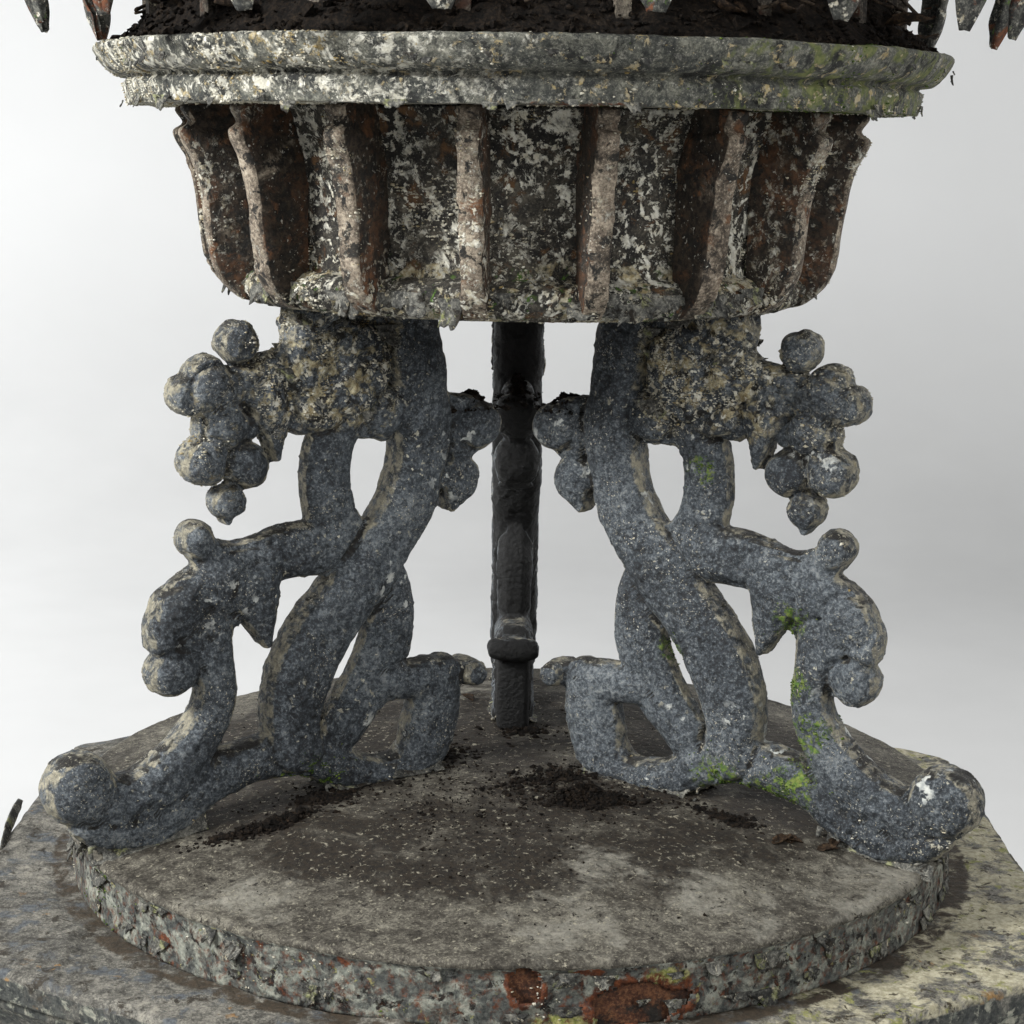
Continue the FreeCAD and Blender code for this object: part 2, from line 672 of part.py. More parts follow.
def bracket_bolts():
    """Studs with square heads that hold the capital floor on the brackets."""
    solids = []
    top = CAPITAL_Z + FLOOR_T
    for azimuth in BRACKET_AZIMUTHS.values():
        for r in BOLT_RADII:
            stud = cylinder(BOLT_R, CAPITAL_Z - 40, top, r, 0)
            head = box(r - 10, r + 10, -10, 10, top, top + 10)
            solids.append(turned(stud.fuse(head).removeSplitter(), azimuth))
    return solids


# ---- capital ------------------------------------------------------------
FLOOR_T = 8.0
DRUM_BASE_R = 284.0
DRUM = [(302, BRACKET_TOP), (312, 578), (317, 588), (314, 597), (305, 603), (292, 607),
        (291, 640), (295, 680), (303, 725), (322, 770)]
DRUM_INSIDE = [(318, 770), (299, 725), (291, 680), (287, 640), (DRUM_BASE_R, 609),
               (DRUM_BASE_R, BRACKET_TOP)]
RIB_W = 22.0
RIB_EDGE = [(306, 770), (373, 770), (369, 752), (378, 744), (377, 735), (367, 716), (359, 690),
            (353, 650), (349, 618), (346, 606), (339, 592), (328, 580), (315, 571), (302, 568),
            (290, 571), (288, 606)]


def capital_floor():
    body = cylinder(DRUM_BASE_R, CAPITAL_Z, CAPITAL_Z + FLOOR_T)
    for azimuth in BRACKET_AZIMUTHS.values():
        for r in BOLT_RADII:
            x, y = polar(r, azimuth)
            body = body.cut(cylinder(BOLT_R, CAPITAL_Z - 1, CAPITAL_Z + FLOOR_T + 1, x, y))
    return body


def capital_drum():
    return revolve([(r, CROWN_Z + z) for r, z in DRUM + DRUM_INSIDE])


def capital_ribs():
    """Narrow upright ribs whose rounded feet hang just below the drum."""
    points = [V(r, -RIB_W / 2, CROWN_Z + z) for r, z in RIB_EDGE]
    rib = Part.Face(Part.makePolygon(points + [points[0]])).extrude(V(0, RIB_W, 0))
    drum = revolve([(0, CAPITAL_Z), (0, CORNICE_Z)] + [(r, CROWN_Z + z) for r, z in reversed(DRUM)])
    rib = rib.cut(drum)
    return [turned(rib, RIB_PHASE + k * 360.0 / RIB_COUNT) for k in range(RIB_COUNT)]


# ---- cornice, gallery, dome and finial ----------------------------------
CORNICE = [(423, 770), (426, 792), (424, 797), (437, 799), (446, 803), (452, 809), (455, 818),
           (457, 827), (457, 834), (448, 837), (434, 839), (430, 839), (430, 834),
           (414, 826), (414, 780), (318, 780), (318, 770)]
DECK_T = 8.0
BAR_R = 402.0
BAR_HALF = 7.0
RING = (376.0, 462.0)
RING_T = 22.0
LEAF_W = 40.0
LEAF = [
    [(440, 1032), (447, 1006), (462, 982), (478, 960), (488, 930), (496, 892), (512, 846)],
    [(512, 846), (528, 880), (537, 918), (534, 956), (519, 990), (494, 1014), (461, 1032)],
    [(461, 1032), (440, 1032)],
]
DOME = [(462, 0), (462, 10), (450, 16), (440, 34), (430, 62), (412, 96), (380, 132), (334, 162),
        (276, 186), (214, 204), (160, 222), (118, 244), (90, 268), (76, 290), (72, 300)]
DOME_T = 4.0
FINIAL = [(0, 300), (72, 300), (78, 306), (78, 316), (60, 324), (42, 336), (36, 352), (40, 362),
          (62, 372), (78, 388), (84, 408), (78, 428), (58, 444), (34, 454), (24, 466), (18, 486),
          (12, 510), (6, 540), (0, 556)]


def cornice_ring():
    return revolve([(r, CROWN_Z + z) for r, z in CORNICE])


def cornice_deck():
    return cylinder(414, DECK_Z, DECK_Z + DECK_T)


def gallery_cage():
    """Slim square bars between the deck and the ring below the dome."""
    z0 = DECK_Z + DECK_T
    z1 = DECK_Z + GALLERY_H
    solids = []
    step = 360.0 / RIB_COUNT
    for k in range(RIB_COUNT):
        bar = box(BAR_R - BAR_HALF, BAR_R + BAR_HALF, -BAR_HALF, BAR_HALF, z0, z1)
        solids.append(turned(bar, RIB_PHASE + k * step))
    ring = tube(RING[1], RING[0], z1, z1 + RING_T)
    wedge = prism([(0, 0), polar(600, -step / 2), polar(600, step / 2)], z1, z1 + RING_T)
    arc = ring.common(wedge)
    solids += [turned(arc, RIB_PHASE + k * step) for k in range(RIB_COUNT)]
    return solids


def leaf_crown():
    """Leaves that hang from the underside of the gallery ring, in line with the ribs."""
    def at(r, z):
        return V(r, -LEAF_W / 2, CROWN_Z + z)
    leaf = Part.Face(smooth_wire(LEAF, at)).extrude(V(0, LEAF_W, 0))
    return [turned(leaf, RIB_PHASE + k * 360.0 / RIB_COUNT) for k in range(RIB_COUNT)]


DOME_Z = DECK_Z + GALLERY_H + RING_T


def dome():
    outer = [(r, DOME_Z + z) for r, z in DOME]
    inner = [(r - DOME_T, z) for r, z in reversed(outer)]
    inner[0] = (DOME[-1][0] - DOME_T, outer[-1][1])
    return revolve(outer + inner)


def finial():
    return revolve([(r, DOME_Z + z) for r, z in FINIAL])


# ---- write every node ---------------------------------------------------
save("mounting_flange", mounting_flange())
save("soffit_bowl", soffit_bowl())
save("floor_plate", floor_plate())
save("floor_bush", floor_bush())
save("case_frame", case_frame())
for place, azimuth in PANEL_AZIMUTHS.items():
    save("side_panel_" + place, face_placed(plain_panel(), azimuth))
for letter, azimuth in DIAL_AZIMUTHS.items():
    dial_set(letter, azimuth)
save("drive_shaft", drive_shaft())
save("drive_bevel", drive_bevel())
save("centre_frame", centre_frame())
save("access_door", face_placed(door_leaf(), DOOR_AZIMUTH))
save("door_hinges", [face_placed(s, DOOR_AZIMUTH) for s in door_hinges()])
save("door_latch", face_placed(door_latch(), DOOR_AZIMUTH))
save("roof_core", roof_core())
save("slab_skin", slab_skin())
save("step_core", step_core())
save("step_skin", step_skin())
for place, azimuth in BRACKET_AZIMUTHS.items():
    save("scroll_bracket_" + place, scroll_bracket(azimuth))
save("bracket_bolts", bracket_bolts())
save("capital_floor", capital_floor())
save("capital_drum", capital_drum())
save("capital_ribs", capital_ribs())
save("cornice_ring", cornice_ring())
save("cornice_deck", cornice_deck())
save("gallery_cage", gallery_cage())
save("leaf_crown", leaf_crown())
save("dome", dome())
save("finial", finial())
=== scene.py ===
import json
import math

import bpy
import numpy as np
from mathutils import Matrix, Vector


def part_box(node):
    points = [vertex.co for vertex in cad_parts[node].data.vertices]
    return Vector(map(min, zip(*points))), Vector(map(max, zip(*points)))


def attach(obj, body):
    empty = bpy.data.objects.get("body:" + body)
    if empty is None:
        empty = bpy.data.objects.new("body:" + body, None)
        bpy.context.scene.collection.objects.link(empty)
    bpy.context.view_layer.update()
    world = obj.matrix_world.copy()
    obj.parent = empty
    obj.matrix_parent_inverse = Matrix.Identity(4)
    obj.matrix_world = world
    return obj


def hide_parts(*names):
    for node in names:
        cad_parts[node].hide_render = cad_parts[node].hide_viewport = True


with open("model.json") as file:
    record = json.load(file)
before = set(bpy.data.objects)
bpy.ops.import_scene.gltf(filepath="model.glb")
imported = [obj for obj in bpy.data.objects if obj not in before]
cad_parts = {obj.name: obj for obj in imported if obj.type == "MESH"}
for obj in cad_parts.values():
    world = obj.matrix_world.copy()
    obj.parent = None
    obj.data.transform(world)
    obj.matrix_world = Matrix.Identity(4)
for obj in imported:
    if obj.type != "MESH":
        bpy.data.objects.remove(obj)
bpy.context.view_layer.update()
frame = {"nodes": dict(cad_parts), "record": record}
nodes = frame["nodes"]
MM = 0.001
CORNICE_FOOT = 770.0       # above the step's rim, as every crown height below, in mm
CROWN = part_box("cornice_ring")[0].z - CORNICE_FOOT * MM       # rim of the round step, in metres
STEP_R = 500.0
DOME_FOOT = 1054.0
RIB_PHASE = 2.3            # azimuth of the first rib, in degrees
RIB_COUNT = 18
RIB_PITCH = 360.0 / RIB_COUNT
BRACKET_AZIMUTHS = {"rear": 90.0, "left": 210.0, "right": 330.0}
UP = (0, 0, 1.0)


# ---- noise --------------------------------------------------------------
PRIMES = (73856093, 19349663, 83492791, 2654435)
MIXERS = ((13, 1274126177), (15, 2246822519))
BITS_24, BITS_32 = 0xFFFFFF, 0xFFFFFFFF


def hashed(i, seed):
    """Repeatable value from 0 to 1 for each whole-numbered grid point."""
    h = (i[:, 0] * PRIMES[0]) ^ (i[:, 1] * PRIMES[1]) ^ (i[:, 2] * PRIMES[2]) ^ (seed * PRIMES[3])
    for shift, factor in MIXERS:
        h = ((h ^ (h >> shift)) * factor) & BITS_32
    return ((h ^ (h >> 16)) & BITS_24) / BITS_24


def value_noise(p, seed):
    """Smooth noise from -1 to 1 on a unit grid."""
    cell = np.floor(p).astype(np.int64)
    f = p - cell
    u = f * f * (3 - 2 * f)
    total = np.zeros(len(p))
    for corner in np.ndindex(2, 2, 2):
        weight = np.prod(np.where(corner, u, 1 - u), axis=1)
        total += weight * hashed(cell + corner, seed)
    return total * 2 - 1


def fbm(p, size, octaves=4, seed=0):
    """Noise about zero; size is its largest lump in metres."""
    q = np.asarray(p) / size
    total, amplitude, norm = 0.0, 1.0, 0.0
    for k in range(octaves):
        total = total + amplitude * value_noise(q, seed + k)
        norm += amplitude
        amplitude *= 0.5
        q = q * 2.03 + 11.7
    return total / norm


def step01(x, lo, hi):
    """Smooth rise from 0 at lo to 1 at hi."""
    t = np.clip((x - lo) / (hi - lo), 0, 1)
    return t * t * (3 - 2 * t)


# ---- meshes -------------------------------------------------------------
def read(mesh):
    """Vertex places and normals as arrays."""
    n = len(mesh.vertices)
    co = np.empty(n * 3)
    mesh.vertices.foreach_get("co", co)
    normal = np.empty(n * 3)
    mesh.vertices.foreach_get("normal", normal)
    return co.reshape(-1, 3), normal.reshape(-1, 3)


def write(mesh, co):
    mesh.vertices.foreach_set("co", np.ascontiguousarray(co).ravel())
    mesh.update()


def neighbours(mesh):
    """Function that gives each vertex the mean of its neighbours' values."""
    ends = np.empty(len(mesh.edges) * 2, np.int32)
    mesh.edges.foreach_get("vertices", ends)
    a, b = ends.reshape(-1, 2).T
    n = len(mesh.vertices)
    count = np.maximum(np.bincount(a, minlength=n) + np.bincount(b, minlength=n), 1)

    def mean(values):
        if values.ndim == 1:
            return (np.bincount(a, values[b], n) + np.bincount(b, values[a], n)) / count
        return np.stack([mean(values[:, k]) for k in range(values.shape[1])], 1)
    return mean


def attribute(mesh, name, values):
    layer = mesh.attributes.new(name, "FLOAT", "POINT")
    layer.data.foreach_set("value", np.clip(values, 0, 1).astype(np.float32))


def new_mesh(name, points, faces):
    mesh = bpy.data.meshes.new(name)
    mesh.from_pydata(np.asarray(points).tolist(), [], [list(map(int, f)) for f in faces])
    mesh.validate()
    mesh.update()
    return mesh


def linked(name, data):
    """New object in the scene."""
    obj = bpy.data.objects.new(name, data)
    bpy.context.scene.collection.objects.link(obj)
    return obj


def crown_mesh(name, points, faces):
    """Mesh from millimetres about the centre of the step's rim."""
    return new_mesh(name, points * MM + [0, 0, CROWN], faces)


def add(name, mesh, material, body="head", smooth=True, replaces=()):
    obj = linked(name, mesh)
    if smooth:
        mesh.polygons.foreach_set("use_smooth", np.ones(len(mesh.polygons), bool))
    mesh.materials.append(material)
    if body:
        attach(obj, body)
    if replaces:
        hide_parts(*replaces)
    return obj


def baked(obj):
    """The object's mesh with its modifiers applied; the object is removed."""
    bpy.context.view_layer.update()
    graph = bpy.context.evaluated_depsgraph_get()
    mesh = bpy.data.meshes.new_from_object(obj.evaluated_get(graph))
    bpy.data.objects.remove(obj)
    return mesh


def grid_faces(rows, columns, wrap):
    """Four-sided faces of a grid of points; wrap joins its last column to the first."""
    i = np.arange(rows - 1)[:, None]
    j = np.arange(columns if wrap else columns - 1)[None, :]
    a = i * columns + j
    b = i * columns + (j + 1) % columns
    return np.stack([a, b, b + columns, a + columns], -1).reshape(-1, 4)


def lathe(profile, columns):
    """Points of a turned surface from (radius, z) in metres, rows by columns."""
    angle = np.arange(columns) * 2 * math.pi / columns
    r, z = np.asarray(profile).T
    x = r[:, None] * np.cos(angle)
    y = r[:, None] * np.sin(angle)
    return np.stack([x, y, np.broadcast_to(z[:, None], x.shape)], -1)


def joined(parts):
    """One set of points and faces from several."""
    points, faces, start = [], [], 0
    for p, f in parts:
        points.append(np.asarray(p))
        faces += [[int(i) + start for i in face] for face in f]
        start += len(p)
    return np.vstack(points), faces


def resample(points, step):
    """Smooth curve through points, with its other columns carried along."""
    p = np.asarray(points, float)
    p = np.vstack([2 * p[0] - p[1], p, 2 * p[-1] - p[-2]])
    out = []
    for k in range(1, len(p) - 2):
        a, b, c, d = p[k - 1:k + 3]
        n = max(2, int(np.linalg.norm((c - b)[:2]) / step + 0.5))
        t = np.arange(n)[:, None] / n
        out.append(0.5 * (2 * b + (c - a) * t + (2 * a - 5 * b + 4 * c - d) * t ** 2
                          + (3 * b - a - 3 * c + d) * t ** 3))
    out.append(p[-2][None, :])
    return np.vstack(out)


def bump(x, centre, width):
    """Bell curve, 1 at the centre."""
    return np.exp(-((x - centre) / width) ** 2)


def blot(p, x, y, size):
    """Round stain in plan, 1 at its centre."""
    d2 = (p[:, 0] - x) ** 2 + (p[:, 1] - y) ** 2
    return np.exp(-d2 / (2 * size ** 2))


def fbm_vector(p, size, octaves, seed):
    """Three independent noises as the columns of a displacement."""
    return np.column_stack([fbm(p, size, octaves, seed + k) for k in range(3)])


def straight(points, step):
    """Polyline with extra points, for sharp-cornered profiles."""
    p = np.asarray(points, float)
    out = []
    for b, c in zip(p[:-1], p[1:]):
        n = max(1, int(np.linalg.norm(c - b) / step + 0.5))
        out.append(b + (c - b) * np.arange(n)[:, None] / n)
    out.append(p[-1][None, :])
    return np.vstack(out)


def polar(points):
    """Radius, and angle in degrees, of each point."""
    x, y = points[:, 0], points[:, 1]
    return np.hypot(x, y), np.degrees(np.arctan2(y, x))


def push_out(points, push):
    """Moves points away from the axis."""
    points[:, :2] += points[:, :2] / polar(points)[0][:, None] * push[:, None]


def turn(points, azimuth):
    """Points turned about Z, in degrees."""
    a = math.radians(azimuth)
    c, s = math.cos(a), math.sin(a)
    p = np.array(points, float)
    x, y = p[..., 0].copy(), p[..., 1].copy()
    p[..., 0] = x * c - y * s
    p[..., 1] = x * s + y * c
    return p


# ---- materials ----------------------------------------------------------
def srgb(r, g, b):
    def linear(v):
        v /= 255.0
        return v / 12.92 if v <= 0.04045 else ((v + 0.055) / 1.055) ** 2.4
    return (linear(r), linear(g), linear(b), 1.0)


class Graph:
    """Small builder for procedural materials in object coordinates."""

    def __init__(self, name):
        self.material = bpy.data.materials.new(name)
        self.material.use_nodes = True
        self.tree = self.material.node_tree
        self.tree.nodes.clear()
        out = self.node("OutputMaterial")
        self.shader = self.node("BsdfPrincipled")
        self.tree.links.new(self.shader.outputs[0], out.inputs["Surface"])
        self.place = self.node("TexCoord").outputs["Object"]
        self.count = 0

    def node(self, kind, **inputs):
        node = self.tree.nodes.new("ShaderNode" + kind)
        self.fill(node, **inputs)
        return node

    def fill(self, node, **inputs):
        """Sets inputs by name, with spaces as underscores."""
        for name, value in inputs.items():
            self.set(node.inputs[name.replace("_", " ")], value)

    def set(self, socket, value):
        if isinstance(value, bpy.types.NodeSocket):
            self.tree.links.new(value, socket)
        else:
            socket.default_value = value

    def math(self, operation, a, b=0.0, clamp=False):
        node = self.node("Math")
        node.operation = operation
        node.use_clamp = clamp
        self.set(node.inputs[0], a)
        self.set(node.inputs[1], b)
        return node.outputs[0]

    def plus(self, a, b, clamp=False):
        return self.math("ADD", a, b, clamp)

    def times(self, a, b):
        return self.math("MULTIPLY", a, b)

    def moved(self, stretch):
        """Object coordinates, shifted so that no two noises line up."""
        self.count += 1
        away = (3.1 * self.count, 1.7 * self.count, 5.3 * self.count)
        return self.node("Mapping", Location=away, Scale=stretch, Vector=self.place).outputs[0]

    def noise(self, scale, detail=5.0, rough=0.6, warp=0.0, stretch=(1, 1, 1)):
        return self.node("TexNoise", Vector=self.moved(stretch), Scale=scale, Detail=detail,
                         Roughness=rough, Distortion=warp).outputs[0]

    def cells(self, scale):
        return self.node("TexVoronoi", Vector=self.moved((1, 1, 1)), Scale=scale, Randomness=1.0).outputs[0]

    def step(self, value, lo, hi):
        node = self.node("MapRange", Value=value, From_Min=lo, From_Max=hi)
        node.interpolation_type = "SMOOTHSTEP"
        return node.outputs[0]

    def attribute(self, name):
        node = self.node("Attribute")
        node.attribute_name = name
        return node.outputs["Fac"]

    def ramp(self, value, stops):
        node = self.node("ValToRGB")
        self.set(node.inputs[0], value)
        ramp = node.color_ramp
        while len(ramp.elements) < len(stops):
            ramp.elements.new(0.5)
        for element, (place, colour) in zip(ramp.elements, stops):
            element.position = place
            element.color = srgb(*colour)
        return node.outputs[0]

    def mix(self, factor, a, b):
        node = self.node("Mix")
        node.data_type = "RGBA"
        self.set(node.inputs[0], factor)
        self.set(node.inputs[6], a)
        self.set(node.inputs[7], b)
        return node.outputs[2]


def weathered(name, tones, layers=(), size=9.0, fine=75.0, grain=0.9, rough=(0.62, 0.9), metal=0.0,
              specular=0.35, stretch=(1.0, 1.0, 1.0)):
    """Mottled surface with patches laid over it.

    tones: colours from low to high noise. Each layer is (colour, colour, scale, low, high,
    attribute or None, raised height in mm). A scale of (patches, specks, least speck noise)
    gives specks in patches.
    """
    g = Graph(name)
    broad = g.noise(size, 8, 0.62, 0.3, stretch)
    close = g.noise(fine, 8, 0.68, 0.2)
    value = g.plus(g.times(broad, 0.42), g.times(close, 0.58))
    last = len(tones) - 1
    colour = g.ramp(value, [(0.36 + 0.28 * k / last, tone) for k, tone in enumerate(tones)])
    glint_tones = [(0.30 + 0.20 * k / last, tone) for k, tone in enumerate(tones)]
    # Sand grain: dark specks, and light specks that are partly painted glints.
    sand = g.noise(360, 5, 0.75)
    colour = g.mix(g.times(g.step(sand, 0.50, 0.64), 0.75), colour, g.ramp(value, glint_tones))
    colour = g.mix(g.times(g.step(sand, 0.49, 0.34), 0.7), colour, srgb(*tones[0]))
    height = g.times(close, grain)
    height = g.plus(height, g.times(sand, 0.9 * grain))
    height = g.plus(height, g.times(g.cells(170), -0.5 * grain))
    for first, second, scale, lo, hi, where, raised in layers:
        if isinstance(scale, tuple):
            dots = g.noise(scale[1], 3, 0.6)
            patch = g.noise(scale[0], 4, 0.6)
            mask = g.times(g.step(dots, scale[2], scale[2] + 0.05), g.step(patch, lo, hi))
        else:
            mask = g.step(g.noise(scale, 7, 0.7, 0.4), lo, hi)
        if where:
            spread = g.noise(34.0 if isinstance(scale, tuple) else scale * 2.1, 6, 0.7)
            gate = g.plus(g.attribute(where), g.math("SUBTRACT", spread, 1.0))
            mask = g.times(mask, g.step(gate, 0.02, 0.28))
        shade = g.mix(g.step(g.noise(160, 5, 0.7), 0.38, 0.62), srgb(*first), srgb(*second))
        colour = g.mix(mask, colour, shade)
        if raised:
            height = g.plus(height, g.times(mask, raised))
    pushed = g.node("Bump", Strength=1.0, Distance=MM, Height=height)
    dull = g.plus(g.times(close, rough[1] - rough[0]), rough[0], True)
    g.fill(g.shader, Normal=pushed.outputs[0], Base_Color=colour, Roughness=dull, Metallic=metal,
           Specular_IOR_Level=specular)
    return g.material


WHITE = (214, 212, 200)
CREAM = (176, 166, 142)
MOSS = (78, 112, 40)
LIME = (142, 158, 74)
DIRT = (66, 56, 44)
RUST = (112, 62, 34)

ZINC = weathered(
    "old_zinc", [(12, 13, 15), (31, 35, 39), (54, 60, 66), (84, 91, 97), (128, 132, 132)],
    [((116, 118, 115), (146, 146, 138), 170.0, 0.60, 0.70, None, 0.4),
     # pale tan on the thin sides: edge wear, and in part a painted highlight where the sides catch the
     # light
     ((116, 112, 98), (158, 152, 132), 75.0, 0.42, 0.56, "edge", 0.3),
     # dirt_and_shade: dark dirt, and on the brackets painted shade in the hollows
     ((30, 27, 23), (18, 17, 15), 42.0, 0.40, 0.56, "dirt_and_shade", 0.1),
     ((196, 194, 182), CREAM, (17.0, 380.0, 0.61), 0.48, 0.60, None, 0.4),
     ((190, 186, 168), (146, 142, 126), (11.0, 150.0, 0.62), 0.52, 0.62, None, 0.6),
     ((206, 207, 200), (164, 168, 166), (9.0, 60.0, 0.60), 0.54, 0.64, None, 0.5),
     ((178, 170, 140), (124, 110, 78), 50.0, 0.50, 0.58, "crust", 0.6),
     ((20, 19, 17), (36, 33, 28), 60.0, 0.55, 0.60, "crust", -0.6),
     (WHITE, (196, 188, 164), 130.0, 0.55, 0.58, "crust", 1.2),
     # painted shade: near black on the rear bracket's inner edges and its foot
     ((4, 4, 4), (11, 11, 10), 40.0, 0.22, 0.34, "painted_shade", 0.0),
     (MOSS, (124, 136, 66), 110.0, 0.48, 0.56, "moss", 0.9)],
    size=8.0, fine=150.0, grain=2.2, rough=(0.5, 0.85), specular=0.45)
STEP = weathered(
    "step_sheet", [(32, 29, 24), (54, 50, 43), (76, 72, 64), (100, 96, 86), (132, 128, 115)],
    [((24, 20, 15), (44, 37, 28), 13.0, 0.30, 0.52, "dirt_and_shade", 0.0),
     ((112, 110, 101), (138, 134, 123), 22.0, 0.42, 0.64, "pale", 0.2),
     ((28, 25, 21), (48, 43, 36), 120.0, 0.58, 0.64, None, 0.5),
     ((128, 124, 110), (156, 150, 132), 150.0, 0.57, 0.64, None, 0.4),
     ((186, 182, 166), CREAM, (18.0, 380.0, 0.68), 0.50, 0.60, None, 0.3),
     ((54, 57, 56), (92, 94, 89), 22.0, 0.30, 0.50, "wall", 0.3),
     ((154, 155, 143), (120, 124, 115), 44.0, 0.46, 0.60, "wall", 0.5),
     ((22, 22, 21), (40, 38, 34), 70.0, 0.56, 0.61, "wall", -0.6),
     ((150, 146, 104), (120, 122, 80), 85.0, 0.61, 0.66, "wall", 0.5),
     ((184, 178, 120), (126, 134, 66), 55.0, 0.36, 0.50, "bloom", 1.4),
     (MOSS, LIME, 90.0, 0.44, 0.52, "moss", 0.6),
     (RUST, (72, 40, 26), 60.0, 0.40, 0.50, "rust", 0.2)], size=9.0, grain=1.2)
SLAB = weathered(
    "slab_sheet", [(40, 38, 34), (64, 62, 57), (92, 90, 84), (118, 115, 107), (148, 144, 132)],
    [((62, 66, 70), (92, 96, 99), 24.0, 0.52, 0.62, None, 0.2),
     ((40, 36, 30), (62, 56, 47), 46.0, 0.56, 0.63, None, 0.4),
     ((150, 118, 74), (112, 84, 52), (9.0, 60.0, 0.62), 0.55, 0.65, None, 0.3),
     ((40, 43, 43), (74, 76, 72), 30.0, 0.36, 0.50, "wall", 0.3),
     ((156, 154, 140), (112, 116, 106), 60.0, 0.53, 0.61, "wall", 0.5),
     ((184, 178, 154), (148, 142, 118), 26.0, 0.42, 0.54, "moss", 0.7),
     ((118, 122, 70), (150, 148, 96), 44.0, 0.56, 0.63, "moss", 0.5),
     ((44, 38, 28), (74, 66, 50), 70.0, 0.57, 0.62, "moss", -0.5),
     (DIRT, (50, 44, 35), 28.0, 0.40, 0.54, "dirt_and_shade", 0.1)], size=10.0, grain=1.5)
FLASHING = weathered(
    "foot_flashing", [(26, 26, 25), (46, 46, 44), (74, 74, 70), (106, 105, 98), (146, 143, 132)],
    [((150, 150, 118), (112, 116, 72), 40.0, 0.55, 0.63, None, 0.6),
     ((24, 22, 18), (44, 38, 30), 60.0, 0.54, 0.60, None, -0.5),
     ((176, 172, 156), CREAM, 110.0, 0.58, 0.62, None, 0.8)], size=20.0, grain=1.6)
DRUM = weathered(
    "capital_sheet", [(10, 10, 9), (22, 21, 19), (38, 36, 32), (66, 62, 54), (98, 93, 82)],
    [((96, 70, 44), (66, 48, 32), 34.0, 0.55, 0.62, None, 0.3),
     (WHITE, (196, 190, 170), 95.0, 0.535, 0.56, "crust", 1.4),
     (WHITE, (206, 202, 186), 40.0, 0.56, 0.585, "crust", 1.6),
     (WHITE, (160, 158, 148), (22.0, 230.0, 0.62), 0.42, 0.54, None, 0.6),
     ((196, 190, 168), (150, 136, 100), 46.0, 0.52, 0.58, "low", 1.0),
     ((70, 86, 44), MOSS, 80.0, 0.58, 0.64, "low", 0.6)], size=16.0, grain=1.5)
RIBS = weathered(
    "rib_sheet", [(28, 25, 21), (66, 58, 49), (108, 97, 84), (142, 130, 114), (180, 169, 150)],
    [((24, 21, 17), (62, 52, 42), 26.0, 0.28, 0.46, "side", 0.3),
     ((88, 61, 41), (54, 39, 28), 18.0, 0.50, 0.60, "side", 0.2),
     ((24, 21, 18), (46, 39, 32), 40.0, 0.56, 0.62, "side", -0.5),
     ((110, 76, 50), (74, 52, 38), 26.0, 0.56, 0.64, None, 0.3),
     ((22, 21, 19), (42, 39, 34), 50.0, 0.54, 0.59, None, -0.5),
     (WHITE, CREAM, 85.0, 0.525, 0.555, "crust", 1.3),
     (WHITE, (168, 164, 152), (24.0, 240.0, 0.63), 0.46, 0.56, None, 0.5),
     ((62, 74, 46), MOSS, 70.0, 0.62, 0.69, "low", 0.5)], size=18.0, grain=1.4)
CORNICE = weathered(
    "cornice_sheet", [(28, 30, 30), (50, 52, 50), (78, 79, 73), (106, 106, 96), (146, 145, 132)],
    [((42, 43, 40), (24, 25, 24), 34.0, 0.52, 0.60, None, 0.3),
     (WHITE, (186, 182, 166), 64.0, 0.50, 0.57, "crust", 1.0),
     (WHITE, (190, 186, 170), 150.0, 0.56, 0.60, "crust", 0.8),
     ((84, 92, 52), (112, 116, 72), 40.0, 0.48, 0.58, "moss", 0.4),
     (RUST, (84, 52, 34), 60.0, 0.46, 0.56, "rust", 0.2),
     ((168, 150, 104), CREAM, 70.0, 0.57, 0.62, None, 0.6),
     (WHITE, CREAM, (20.0, 250.0, 0.64), 0.46, 0.58, None, 0.4)], size=15.0, grain=1.5)
# Soil's own dark colour, made darker still as painted shade for the gallery under the dome.
SOIL_AND_SHADE = weathered(
    "soil", [(5, 4, 3), (9, 7, 5), (17, 13, 10), (29, 23, 17), (48, 39, 30)],
    [((84, 70, 54), (52, 42, 32), (40.0, 260.0, 0.74), 0.45, 0.6, None, 0.2)],
    size=60.0, fine=240.0, grain=1.6, rough=(0.85, 1.0), specular=0.15)
IRON = weathered(
    "rusty_iron", [(26, 16, 12), (48, 29, 20), (74, 44, 29), (100, 64, 42), (128, 92, 64)],
    [((24, 22, 20), (44, 40, 36), 22.0, 0.46, 0.58, None, 0.2),
     ((150, 112, 74), (120, 84, 54), (30.0, 240.0, 0.74), 0.48, 0.60, None, 0.4)], size=18.0)
BARS = weathered(
    "gallery_bar_iron", [(14, 12, 10), (30, 26, 22), (54, 48, 41), (84, 77, 67), (126, 118, 104)],
    [((72, 46, 32), (50, 34, 25), 26.0, 0.54, 0.62, None, 0.3),
     (CREAM, (150, 144, 126), 90.0, 0.60, 0.64, None, 0.6)], size=22.0)
TWIG = weathered(
    "twig_bark", [(15, 12, 9), (30, 24, 19), (52, 43, 34), (84, 73, 61)], [], size=60.0, fine=200.0,
    grain=0.6, rough=(0.8, 1.0), specular=0.15)
# Dead leaves' brown, made darker still as painted shade for the gallery under the dome.
LITTER_AND_SHADE = weathered(
    "dead_leaf", [(12, 9, 7), (26, 19, 13), (48, 36, 25), (84, 67, 49)], [], size=70.0, fine=220.0,
    grain=0.5, rough=(0.7, 0.95), specular=0.2)
LICHEN = weathered(
    "lichen", [(132, 126, 106), (168, 162, 142), (196, 192, 176), (216, 213, 200)],
    [((150, 132, 88), (120, 104, 70), 30.0, 0.52, 0.62, None, 0.0)],
    size=40.0, grain=0.5, rough=(0.85, 1.0), specular=0.15)
GREEN = weathered(
    "moss_tufts", [(26, 38, 16), (50, 70, 28), (80, 100, 42), (122, 134, 66)], [], size=50.0, fine=160.0,
    grain=0.5, rough=(0.9, 1.0), specular=0.1)
LEAF = weathered(
    "leaf_sheet", [(16, 16, 16), (34, 35, 34), (58, 59, 56), (90, 90, 84), (130, 128, 118)],
    [((112, 68, 42), (84, 50, 34), 24.0, 0.54, 0.62, None, 0.3),
     (WHITE, CREAM, 90.0, 0.57, 0.61, None, 0.8),
     ((90, 104, 56), MOSS, 60.0, 0.60, 0.68, None, 0.5)], size=18.0)
